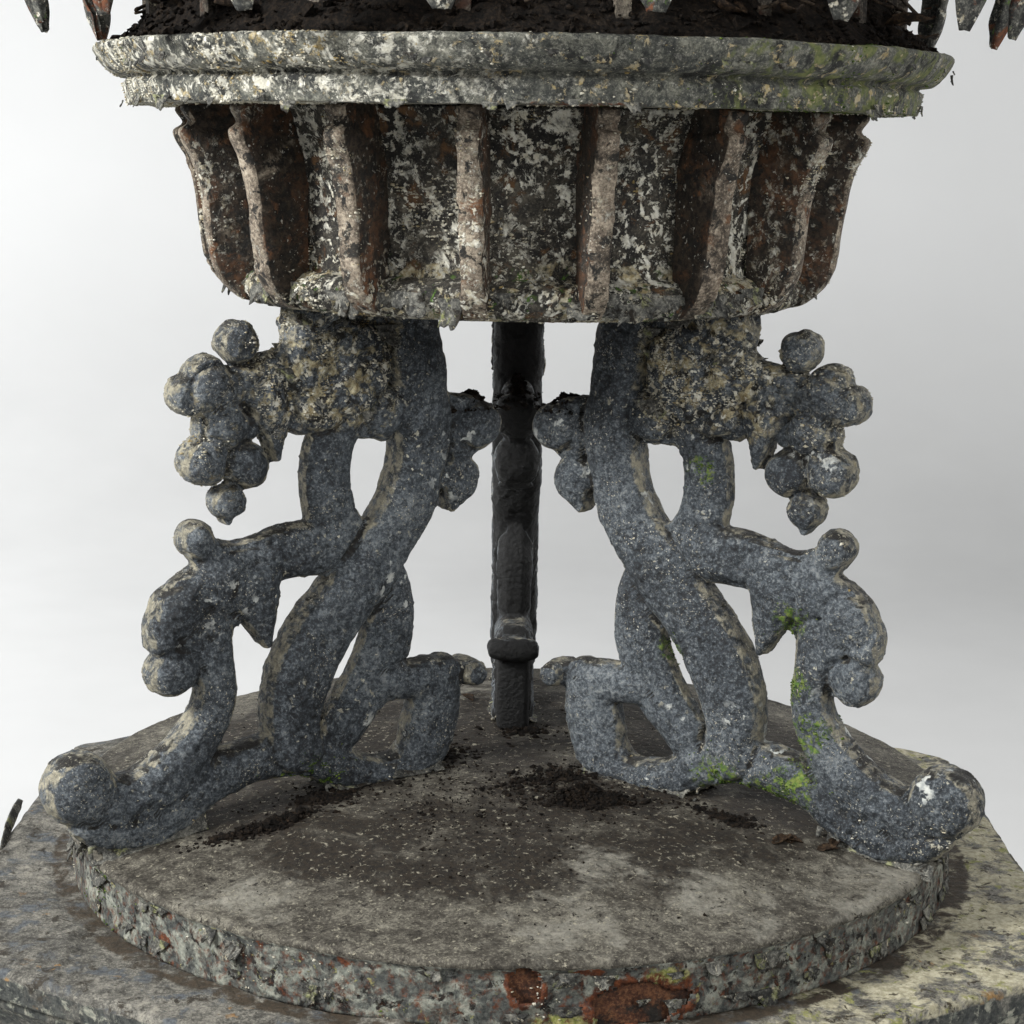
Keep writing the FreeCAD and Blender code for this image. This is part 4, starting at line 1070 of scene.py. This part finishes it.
def rib():
    """One upright fin as a closed grid: front strip and two side faces."""
    front = resample(RIB_OUTLINE, 3.2)
    rings = []
    for q in front:
        foot = np.array([296.0, min(max(q[1], 577.0), 769.4)])
        depth = np.linalg.norm(q - foot)
        inward = (foot - q) / max(depth, 1e-6)
        ring = []
        for t, back in RIB_RING:
            spot = q + inward * depth * max(back, 0.0)
            ring.append((spot[0], t, spot[1]))
        rings.append(ring)
    return np.array(rings).reshape(-1, 3), grid_faces(len(front), len(RIB_RING), False)


def capital_ribs():
    parts, side, low, crust = [], [], [], []
    for k in range(RIB_COUNT):
        base, faces = rib()
        p = base.copy()
        shift = base + [500.0 * k, 0, 0]
        bow = 2.6 * fbm(shift * [1, 0, 1], 90.0, 2, 301 + k)
        dents = 2.2 * fbm(shift, 26.0, 4, 331) + 1.6 * step01(fbm(shift, 16.0, 3, 333), 0.1, 0.2)
        p[:, 1] += bow + dents * np.sign(base[:, 1]) * step01(np.abs(base[:, 1]), 6, 11)
        p[:, 0] += (1.6 * fbm(shift, 26.0, 3, 341) - 1.2 * step01(fbm(shift, 14.0, 3, 347), 0.2, 0.35)) \
            * step01(base[:, 0], 305, 330)
        parts.append((turn(p, RIB_PHASE + k * RIB_PITCH), faces))
        side.append(step01(np.abs(base[:, 1]), 9.8, 11.1))
        low.append(step01(-base[:, 2], -610, -560))
        crust.append(0.5 + 0.5 * fbm(shift, 60.0, 3, 351) + 0.3 * low[-1])
    mesh = crown_mesh("capital_ribs", *joined(parts))
    attribute(mesh, "side", np.concatenate(side))
    attribute(mesh, "low", np.concatenate(low))
    attribute(mesh, "crust", np.concatenate(crust))
    return add("capital_fins", mesh, RIBS, replaces=["capital_ribs"])


wall = drum_sheet()
fins = capital_ribs()


# ---- cornice ------------------------------------------------------------
def cornice():
    columns = 1100
    outside = straight([(322, 770), (423, 770), (426, 784), (427, 791), (422, 795), (424, 798), (436, 800),
                        (444, 804.5), (450, 811), (454, 818), (457.5, 824), (457.5, 827.5), (453, 829.5),
                        (436, 829.5), (431, 828), (415, 826)], 2.6)
    inside = [(415, 781), (323, 781), (321, 770.4)]
    profile = np.vstack([outside, inside])
    points = lathe(profile, columns).reshape(-1, 3)
    radius = polar(points)[0]
    z = points[:, 2]
    edge = step01(radius, 415, 423)
    push = edge * (2.6 * fbm(points, 120.0, 3, 401) + 2.4 * fbm(points, 22.0, 4, 403) - 0.4)
    chips = -4.5 * step01(fbm(points, 46.0, 4, 407), 0.30, 0.42) * step01(radius, 448, 454)
    push_out(points, push + chips)
    points[:, 2] += edge * (2.0 * fbm(points * [1, 1, 0.1], 70.0, 3, 409) + 1.0 * fbm(points, 14.0, 3, 411))
    points[:, 2] = np.maximum(points[:, 2], 768.0)
    mesh = crown_mesh("cornice", points, grid_faces(len(profile), columns, True))
    x = points[:, 0]
    attribute(mesh, "crust", 0.5 + 0.4 * step01(-x, -80, 250))
    attribute(mesh, "moss", 0.2 + 0.7 * step01(x, 20, 300))
    angle = polar(points)[1]
    attribute(mesh, "rust", bump(angle, -83, 9.0) * step01(-z, -776, -771))
    return add("cornice_band", mesh, CORNICE, replaces=["cornice_ring"])


band = cornice()


# ---- torn edges ---------------------------------------------------------
TORN_BANDS = ((64, 316.0, 592.0, 21.0), (50, 426.0, 775.0, 9.0), (56, 455.0, 812.0, 7.0),
              (60, 500.5, -12.0, 13.0), (60, 500.0, -44.0, 13.0))     # count, radius, height, size in mm


def shred(place, out, size, rng):
    """A hanging scrap of torn sheet, fixed along its upper edge."""
    u, v = np.meshgrid(np.linspace(0, 1, 8), np.linspace(-1, 1, 9), indexing="ij")
    u, v = u.ravel(), v.ravel()
    side = np.cross((0, 0, 1.0), out)
    ragged = fbm(np.column_stack([u * 20, v * 20, np.full(len(u), rng.uniform(0, 900))]), 14.0, 3, 951)
    half = size * rng.uniform(0.5, 1.1) * (1 - 0.5 * u) * (1 + 0.9 * ragged)
    drop = size * rng.uniform(0.5, 1.0) * u * (1 + 0.8 * ragged)
    lift = size * (rng.uniform(0.0, 0.45) * u ** 2 + 0.14 * ragged)
    slant = rng.uniform(-0.5, 0.5)
    points = (place + np.outer(half * v + slant * drop, side) - np.outer(drop, (0, 0, 1.0))
              + np.outer(lift + 0.8, out))
    return points, grid_faces(8, 9, False)


def torn_edges():
    rng = np.random.default_rng(953)
    spots = []
    for count, radius, z, size in TORN_BANDS:
        for azimuth in rng.uniform(0, 360, count):
            out = turn(np.array([1.0, 0, 0]), azimuth)
            spots.append((out * radius + [0, 0, z + rng.uniform(-5, 5)], out, size * rng.uniform(0.5, 1.5)))
    for azimuth in BRACKET_AZIMUTHS.values():
        for _ in range(34):
            side = rng.choice((-1.0, 1.0))
            place = turn(np.array([rng.uniform(165, 285), 22.5 * side, rng.uniform(462, 566)]), azimuth)
            spots.append((place, turn(np.array([0, side, 0.0]), azimuth), rng.uniform(8, 20)))
    mesh = crown_mesh("torn_sheet", *joined([shred(*spot, rng) for spot in spots]))
    add("torn_sheet", thick(mesh, 1.2 * MM), FLASHING)


torn_edges()


# ---- hooked leaves ------------------------------------------------------
def leaf(seed):
    """Ribbed, lobed blade that hangs from the gallery ring and hooks in at its tip."""
    spine = resample([(452, 1031, 13), (470, 1020, 17), (494, 1002, 22), (512, 978, 26), (523, 948, 27),
                      (528, 918, 25), (525, 890, 21), (519, 868, 14), (512, 847, 3)], 3.6)
    along = np.gradient(spine[:, :2], axis=0)
    along /= np.linalg.norm(along, axis=1)[:, None]
    v = np.linspace(-1, 1, 19)
    rows = []
    for k, (q, d) in enumerate(zip(spine, along)):
        u = k / (len(spine) - 1)
        lobes = 1 + 0.2 * math.cos(u * 21 + 0.4 * seed) * step01(u, 0.1, 0.3)
        lift = 8.0 * np.abs(v) ** 1.5 - 5.0 * bump(v, 0, 0.15) + 2.2 * np.cos(v * 10 + 5 * u)
        lift = lift * min(1.0, q[2] / 16)
        inward = np.array([d[1], -d[0]])
        rows.append(np.column_stack([q[0] + inward[0] * lift, q[2] * lobes * v, q[1] + inward[1] * lift]))
    points = np.array(rows).reshape(-1, 3)
    points += 1.8 * fbm_vector(points + seed * 97.0, 20.0, 3, 501)
    return points, grid_faces(len(spine), len(v), False)


def leaves():
    parts = []
    for k in range(RIB_COUNT):
        p, faces = leaf(k)
        parts.append((turn(p, RIB_PHASE + k * RIB_PITCH), faces))
    mesh = crown_mesh("leaf_ring", *joined(parts))
    return add("leaf_ring", thick(mesh, 7.0 * MM), LEAF, replaces=["leaf_crown"])


leaves()


# ---- dome and finial ----------------------------------------------------
def dome_sheet():
    """Sheet dome with raised seams over the ribs and a beaded foot."""
    columns = 900
    outside = straight([(462, 0), (462, 10), (450, 16), (440, 34), (430, 62), (412, 96), (380, 132),
                        (334, 162), (276, 186), (214, 204), (160, 222), (118, 244), (90, 268), (76, 290),
                        (72, 299)], 5.0)
    inside = [(66, 299), (84, 266), (154, 218), (330, 158), (425, 62), (446, 14), (458, 0.5)]
    profile = np.vstack([outside, inside])
    profile[:, 1] += DOME_FOOT
    points = lathe(profile, columns).reshape(-1, 3)
    outer = np.repeat(np.arange(len(profile)) < len(outside), columns)
    radius, angle = polar(points)
    z = points[:, 2] - DOME_FOOT
    off = (angle - RIB_PHASE + RIB_PITCH / 2) % RIB_PITCH - RIB_PITCH / 2
    away = np.radians(off) * radius
    seam = step01(-np.abs(away), -6.0, -3.0) * step01(z, 14, 24) * step01(-z, -292, -270)
    push = 4.0 * seam + 2.2 * fbm(points, 90.0, 3, 601) + 1.0 * fbm(points, 20.0, 3, 603)
    push += 2.2 * np.cos(np.radians(off * RIB_COUNT)) * step01(-z, -40, -28) * step01(z, 16, 24)
    push -= 2.5 * step01(fbm(points, 120.0, 3, 605), 0.2, 0.4)
    push_out(points, push * outer * step01(z, 2, 8))
    points[:, 2] += 0.7 * push * outer * step01(z, 80, 180)
    mesh = crown_mesh("dome_sheet", points, grid_faces(len(profile), columns, True))
    attribute(mesh, "crust", outer * (0.25 + 0.5 * step01(-z, -60, -10) + 0.35 * seam))
    attribute(mesh, "dirt_and_shade", 0.2 + 0.6 * step01(np.abs(away), 3, 5) * step01(-np.abs(away), -22, -8))
    attribute(mesh, "moss", 0.5 * step01(points[:, 0], 60, 380) * step01(-z, -200, -60))
    return add("dome_sheet", mesh, ZINC, replaces=["dome"])


dome_sheet()


# ---- dial markings and rivets -------------------------------------------
NUMERALS = ("XII", "I", "II", "III", "IIII", "V", "VI", "VII", "VIII", "IX", "X", "XI")
NUMERAL_WIDTHS = {"I": 9.0, "V": 26.0, "X": 27.0}
NUMERAL_HEIGHT = 40.0
NUMERAL_FOOT = 152.0       # radius of the numerals' feet, in mm
TRACK_R = 218.0            # outer end of the minute marks
BOX_FACES = ((4, 5, 6, 7), (0, 1, 5, 4), (1, 2, 6, 5), (2, 3, 7, 6), (3, 0, 4, 7))


def stroke(x0, y0, x1, y1, width):
    """Flat bar between two points of a dial, as four corners."""
    d = np.array([x1 - x0, y1 - y0])
    n = np.array([-d[1], d[0]]) / np.linalg.norm(d) * width / 2
    a, b = np.array([x0, y0]), np.array([x1, y1])
    return np.array([a - n, b - n, b + n, a + n])


def polar_stroke(r0, a0, r1, a1, width):
    return stroke(r0 * math.cos(a0), r0 * math.sin(a0), r1 * math.cos(a1), r1 * math.sin(a1), width)


def roman(text):
    """Strokes of a roman numeral with its foot at y = 0, and its width."""
    strokes, x, h = [], 0.0, NUMERAL_HEIGHT
    for letter in text:
        w = NUMERAL_WIDTHS[letter]
        if letter == "I":
            strokes += [stroke(x + w / 2, 0, x + w / 2, h, 5.0)]
        elif letter == "V":
            strokes += [stroke(x + 3, h, x + w / 2, 0, 5.4), stroke(x + w - 3, h, x + w / 2, 0, 2.2)]
        else:
            strokes += [stroke(x + 3, h, x + w - 3, 0, 5.4), stroke(x + w - 3, h, x + 3, 0, 2.2)]
        for y in ((0.0, h) if letter != "V" else (h,)):
            strokes += [stroke(x + 0.4, y, x + w - 0.4, y, 1.8)]
        x += w + 1.5
    return strokes, x - 1.5


def dial_marks(letter):
    """Hour numerals and the minute track, raised a hair above the dial plate."""
    plate = nodes["dial_plate_" + letter]
    spots = np.array([plate.matrix_world @ v.co for v in plate.data.vertices])
    lo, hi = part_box("dial_plate_" + letter)
    middle = (np.array(lo) + np.array(hi)) / 2
    out = np.array([middle[0], middle[1], 0.0])
    out /= np.linalg.norm(out)
    front = (spots @ out).max()
    corners = []
    for hour, text in enumerate(NUMERALS):
        strokes, width = roman(text)
        turned = math.radians(-30.0 * hour)
        c, s = math.cos(turned), math.sin(turned)
        for bar in strokes:
            x, y = (bar - [width / 2, -NUMERAL_FOOT]).T
            corners.append(np.column_stack([x * c - y * s, x * s + y * c]))
    for minute in range(60):
        a = math.radians(6.0 * minute)
        b = a + math.radians(6.2)
        inner, wide = (202.0, 4.6) if minute % 5 == 0 else (206.0, 1.9)
        corners.append(polar_stroke(inner, a, TRACK_R, a, wide))
        for r in (205.0, TRACK_R + 1):
            corners.append(polar_stroke(r, a, r, b, 1.6))
    across = np.array([-out[1], out[0], 0.0])
    points, faces = [], []
    for quad in corners:
        for depth in (0.0001, 0.0006):
            for x, y in quad:
                height = np.array([0, 0, middle[2] + y * MM])
                points.append(across * x * MM + height + out * (front + depth))
        k = len(points) - 8
        faces += [[k + i for i in face] for face in BOX_FACES]
    add("dial_marks_" + letter, new_mesh("dial_marks", np.array(points), faces), BLACK, smooth=False)


for letter in "abc":
    dial_marks(letter)


def rivets():
    """Dome-headed rivets along the rails and posts of the case."""
    lo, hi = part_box("case_frame")
    reach = (hi.x - lo.x) / 2
    top, base = hi.z, lo.z
    a = np.arange(10) * 2 * math.pi / 10
    parts = []
    edge = reach / math.cos(math.radians(30.0))
    for face in range(6):
        azimuth = 60.0 * face
        spots = [(x, z) for x in np.linspace(-0.42, 0.42, 15) * edge for z in (base + 0.020, top - 0.020)]
        upright = np.linspace(base + 0.09, top - 0.09, 9)
        spots += [(x, z) for x in (-0.455 * edge, 0.455 * edge) for z in upright]
        for x, z in spots:
            rings = [np.column_stack([np.full(10, h), r * np.cos(a), r * np.sin(a)])
                     for h, r in ((-0.001, 0.0075), (0.0015, 0.0072), (0.0036, 0.0052), (0.0046, 0.0022))]
            points = np.vstack(rings) + [reach, x, z]
            faces = grid_faces(4, 10, True).tolist() + [list(range(30, 40))]
            parts.append((turn(points, azimuth), faces))
    add("case_rivets", new_mesh("case_rivets", *joined(parts)), PAINT)


rivets()


# ---- soil, litter and growth --------------------------------------------
def crumb_shape(fine):
    points = [(1, 0, 0), (-1, 0, 0), (0, 1, 0), (0, -1, 0), (0, 0, 1), (0, 0, -1)]
    faces = [(0, 2, 4), (2, 1, 4), (1, 3, 4), (3, 0, 4), (2, 0, 5), (1, 2, 5), (3, 1, 5), (0, 3, 5)]
    if not fine:
        return np.array(points, float), np.array(faces)
    middle, finer = {}, []

    def between(a, b):
        key = (min(a, b), max(a, b))
        if key not in middle:
            middle[key] = len(points)
            v = np.array(points[a], float) + points[b]
            points.append(tuple(v / np.linalg.norm(v)))
        return middle[key]
    for a, b, c in faces:
        ab, bc, ca = between(a, b), between(b, c), between(c, a)
        finer += [(a, ab, ca), (ab, b, bc), (ca, bc, c), (ab, bc, ca)]
    return np.array(points, float), np.array(finer)


def crumbs(centres, sizes, seed, flat=0.8, fine=False):
    """Many small irregular lumps, in metres, as one set of points and faces."""
    rng = np.random.default_rng(seed)
    base, faces = crumb_shape(fine)
    n = len(centres)
    q, _ = np.linalg.qr(rng.normal(size=(n, 3, 3)))
    lumps = base[None] * (1 + 0.30 * rng.normal(size=(n, len(base), 1)).clip(-1.5, 1.5))
    lumps = lumps * rng.uniform(0.6, 1.25, (n, 1, 3))
    lumps = np.einsum("nij,nkj->nki", q, lumps) * [1, 1, flat]
    points = centres[:, None, :] + lumps * np.asarray(sizes)[:, None, None]
    all_faces = faces[None] + (np.arange(n) * len(base))[:, None, None]
    return points.reshape(-1, 3), all_faces.reshape(-1, 3)


def pile(x, y, length, width, angle, height, count, seed, surface):
    """Heap of loose soil on a surface: a lumpy mound with crumbs on and round it."""
    rng = np.random.default_rng(seed)
    a = math.radians(angle)

    def at(u, v):
        px = x + MM * (u * length * math.cos(a) - v * width * math.sin(a))
        py = y + MM * (u * length * math.sin(a) + v * width * math.cos(a))
        return np.column_stack([px, py, np.zeros(len(px))])
    across, along = np.meshgrid(np.linspace(-1, 1, 34), np.linspace(-1, 1, 60))
    u, v = along.ravel(), across.ravel()
    place = at(u, v)
    lump = 0.75 + 0.8 * fbm(place, 0.02, 4, seed)
    edge = step01(-np.hypot(u, v) - 0.35 * fbm(place, 0.03, 3, seed + 3), -1.0, -0.1)
    place[:, 2] = surface(place[:, 0], place[:, 1]) + MM * (height * lump * edge - 2.2)
    parts = [(place, grid_faces(60, 34, False))]
    u, v = rng.normal(0, 0.52, count), rng.normal(0, 0.52, count)
    here = at(u, v)
    rise = height * step01(-np.hypot(u, v), -1.0, -0.1) * (0.75 + 0.8 * fbm(here, 0.02, 4, seed))
    here[:, 2] = surface(here[:, 0], here[:, 1]) + MM * np.maximum(rise - 1.5, 0.2)
    sizes = MM * rng.lognormal(0.45, 0.5, count).clip(0.7, 6.0)
    parts.append(crumbs(here, sizes, seed + 1, fine=True))
    return joined(parts)


def on_step(x, y):
    r = np.hypot(x, y) / MM
    return CROWN + MM * dome_rise(r)


def bracket_spot(azimuth, r, t, z):
    p = turn(np.array([r, t, z]) * MM, azimuth)
    p[2] += CROWN
    return p


def soil():
    parts = [
        pile(0.082, -0.165, 56, 19, 6, 19, 620, 701, on_step),
        pile(0.045, -0.100, 55, 34, 30, 5, 360, 702, on_step),
        pile(-0.262, -0.222, 86, 16, 30, 13, 620, 703, on_step),
        pile(-0.205, -0.150, 50, 26, 40, 8, 300, 704, on_step),
        pile(-0.090, -0.030, 60, 40, 20, 4, 320, 705, on_step),
        pile(0.010, 0.060, 50, 40, 80, 5, 240, 706, on_step),
        pile(0.240, -0.190, 60, 24, -36, 7, 300, 707, on_step),
    ]
    for place, seed in (("left", 711), ("right", 712), ("rear", 713)):
        azimuth = BRACKET_AZIMUTHS[place]
        spot = bracket_spot(azimuth, 66, 0, 447)
        parts.append(pile(spot[0], spot[1], 34, 19, azimuth, 26, 420, seed,
                          lambda x, y, z=spot[2]: np.full(np.shape(x), z)))
    rng = np.random.default_rng(720)
    count = 3200
    r, a = 460 * np.sqrt(rng.uniform(0.0, 1, count)), rng.uniform(0, 2 * math.pi, count)
    x, y = MM * r * np.cos(a), MM * r * np.sin(a)
    near = rng.uniform(0, 1, count) < 0.75
    x = np.where(near, rng.normal(0.0, 0.13, count), x)
    y = np.where(near, rng.normal(-0.13, 0.10, count), y)
    inside = np.hypot(x, y) < 0.47
    x, y = x[inside], y[inside]
    count = len(x)
    loose = np.column_stack([x, y, on_step(x, y) + 0.0004])
    parts.append(crumbs(loose, MM * rng.lognormal(0.0, 0.5, count).clip(0.4, 3.2), 721))
    add("soil_on_step", new_mesh("soil", *joined(parts)), SOIL_AND_SHADE, smooth=False)


def deck_rise(r):
    """Height of the leaf mould at a radius."""
    return 829 + 52 * step01(-r, -446, -366) + 62 * step01(-r, -376, -220)


def deck_lumps(p):
    return 13 * fbm(p, 70.0, 3, 731) + 7.0 * fbm(p, 20.0, 4, 733)


def deck_litter():
    """Mound of leaf mould that fills the pan behind the cornice lip."""
    columns = 620
    radii = np.concatenate([np.arange(6.0, 300, 12.0), np.arange(300, 441, 3.5)])
    points = lathe(np.column_stack([radii, np.zeros(len(radii))]), columns).reshape(-1, 3)
    radius = np.repeat(radii, columns)
    rough = deck_lumps(points) + 3.0 * fbm(points, 7.0, 2, 735)
    points[:, 2] = np.maximum(deck_rise(radius) + rough * step01(-radius, -442, -415), 824)
    body = (points * MM + [0, 0, CROWN], grid_faces(len(radii), columns, True))
    rng = np.random.default_rng(737)
    count = 5200
    a = rng.uniform(0, 2 * math.pi, count)
    r = rng.uniform(290, 447, count)
    spots = np.column_stack([r * np.cos(a), r * np.sin(a), np.zeros(count)])
    lift = deck_lumps(spots) * step01(-r, -442, -415)
    spots[:, 2] = deck_rise(r) + lift + rng.uniform(0, 4, count)
    sizes = MM * rng.lognormal(0.9, 0.5, count).clip(1.0, 8.0)
    lumps = crumbs(spots * MM + [0, 0, CROWN], sizes, 739, fine=True)
    # The mound's near-black colour is partly painted shade inside the gallery.
    add("deck_soil", new_mesh("deck_soil", *joined([body, lumps])), SOIL_AND_SHADE, smooth=False)


def wire(path, radius, n=7):
    """Thin round stem along a path, tapering to its end."""
    p = np.asarray(path, float)
    rings = []
    for k, q in enumerate(p):
        d = p[min(k + 1, len(p) - 1)] - p[max(k - 1, 0)]
        d = d / np.linalg.norm(d)
        side = np.cross(d, (0.31, 0.17, 0.94))
        side /= np.linalg.norm(side)
        up = np.cross(side, d)
        a = np.arange(n) * 2 * math.pi / n
        thin = radius * (1 - 0.6 * k / (len(p) - 1))
        rings.append(q + thin * (np.cos(a)[:, None] * side + np.sin(a)[:, None] * up))
    return closed_tube(rings)


def twigs():
    rng = np.random.default_rng(751)
    parts = []
    stems = [(-138, 425, -118, 395, 60), (-126, 430, -139, 380, 30), (-60, 420, -44, 415, 12),
             (-102, 432, -96, 380, 25), (-78, 415, -70, 430, 22), (-52, 428, -66, 380, 30)]
    stems += [(az, rng.uniform(380, 428), az + rng.uniform(-26, 26), rng.uniform(360, 425),
               rng.uniform(4, 34)) for az in rng.uniform(0, 360, 44)]
    for a0, r0, a1, r1, lift in stems:
        start = np.array([*turn(np.array([r0, 0, 0.0]), a0)[:2], 862 + rng.uniform(-4, 10)])
        end = np.array([*turn(np.array([r1, 0, 0.0]), a1)[:2], 876 + lift])
        t = np.linspace(0, 1, 12)[:, None]
        sway = np.column_stack([fbm(t * 90 + a0 + 50 * k, 40.0, 2, 753) for k in range(3)])
        path = start + (end - start) * t + 7 * sway * np.sin(t * math.pi)
        parts.append(wire(path * MM + [0, 0, CROWN], MM * rng.uniform(1.0, 2.3)))
    add("twigs", new_mesh("twigs", *joined(parts)), TWIG)


def dead_leaf(length, width, curl, seed):
    u, v = np.meshgrid(np.linspace(0, 1, 16), np.linspace(-1, 1, 9), indexing="ij")
    half = width * np.sin(math.pi * u ** 0.8) ** 0.8 * (1 + 0.12 * np.sin(u * 30 + seed))
    lift = curl * (v ** 2) * np.sin(math.pi * u) + 0.35 * curl * u ** 2
    p = np.stack([length * u, half * v, lift], -1).reshape(-1, 3)
    p[:, 2] += 1.5 * fbm(p + seed * 31, 9.0, 2, 761) + 0.8 * bump(v.ravel(), 0, 0.12)
    return p, grid_faces(16, 9, False)


def dead_leaves():
    rng = np.random.default_rng(763)
    spots = [(0.272, -0.243, 40), (0.292, -0.238, 100), (0.318, -0.246, 10), (0.306, -0.232, 160),
             (0.335, -0.236, 60), (0.345, -0.205, 20), (-0.235, -0.215, 80), (-0.16, -0.11, 30),
             (0.12, 0.09, 10), (-0.05, 0.21, 120)]     # x, y in metres, heading in degrees
    parts = []
    for k, (x, y, heading) in enumerate(spots):
        p, f = dead_leaf(rng.uniform(16, 30), rng.uniform(5, 9), rng.uniform(3, 8), k)
        p = turn(p, heading) * MM
        parts.append((p + [x, y, float(on_step(x, y)) + 0.002], f))
    for k in range(90):
        a, r = rng.uniform(0, 360), rng.uniform(345, 428)
        p, f = dead_leaf(rng.uniform(24, 48), rng.uniform(8, 15), rng.uniform(4, 14), k + 20)
        p = turn(p, rng.uniform(0, 360))
        x, y = turn(np.array([r, 0.0, 0.0]), a)[:2]
        p += [x, y, 848 + 46 * float(step01(-r, -432, -345)) + rng.uniform(0, 10)]
        parts.append((p * MM + [0, 0, CROWN], f))
    add("dead_leaves", thick(new_mesh("dead_leaves", *joined(parts)), 0.5 * MM), LITTER_AND_SHADE)


def grown(name, sources, material, seed, flat=0.6):
    """Scabs and tufts seeded on surfaces: sources are (object, weight, count, size in mm)."""
    rng = np.random.default_rng(seed)
    parts = []
    for k, (obj, weight, count, size) in enumerate(sources):
        co, normal = read(obj.data)
        w = np.clip(weight(co, normal, obj.data), 0, None)
        if w.sum() <= 0:
            continue
        chosen = rng.choice(len(co), count, p=w / w.sum())
        centres = co[chosen] + normal[chosen] * MM * 0.2
        sizes = MM * size * rng.lognormal(0, 0.4, count).clip(0.4, 2.2)
        parts.append(crumbs(centres, sizes, seed + k, flat))
    return add(name, new_mesh(name, *joined(parts)), material)


def layer_values(mesh, name):
    values = np.empty(len(mesh.vertices), np.float32)
    mesh.attributes[name].data.foreach_get("value", values)
    return values.astype(float)


def clustered(name, size, lo, hi, seed):
    """Weight for grown(): an attribute times patches of noise."""
    def weight(co, normal, mesh):
        return layer_values(mesh, name) ** 3 * step01(fbm(co, size, 4, seed), lo, hi)
    return weight


soil()
deck_litter()
twigs()
dead_leaves()
grown("lichen", [(brackets["left"], clustered("crust", 0.03, 0.05, 0.3, 811), 1500, 1.3),
                 (brackets["right"], clustered("crust", 0.03, 0.05, 0.3, 812), 1500, 1.3),
                 (wall, clustered("crust", 0.035, 0.05, 0.3, 814), 5200, 1.5),
                 (fins, clustered("crust", 0.03, 0.1, 0.35, 815), 2600, 1.2),
                 (band, clustered("crust", 0.04, 0.0, 0.3, 816), 4200, 1.4),
                 (step_obj, clustered("wall", 0.05, 0.2, 0.4, 817), 500, 1.1)], LICHEN, 821)
grown("moss", [(brackets["left"], clustered("moss", 0.012, -0.1, 0.2, 831), 500, 1.1),
               (brackets["right"], clustered("moss", 0.012, 0.0, 0.3, 832), 1500, 1.0),
               (step_obj, clustered("moss", 0.02, 0.0, 0.25, 833), 900, 1.1),
               (band, clustered("moss", 0.03, 0.15, 0.4, 835), 1300, 1.1)], GREEN, 841)
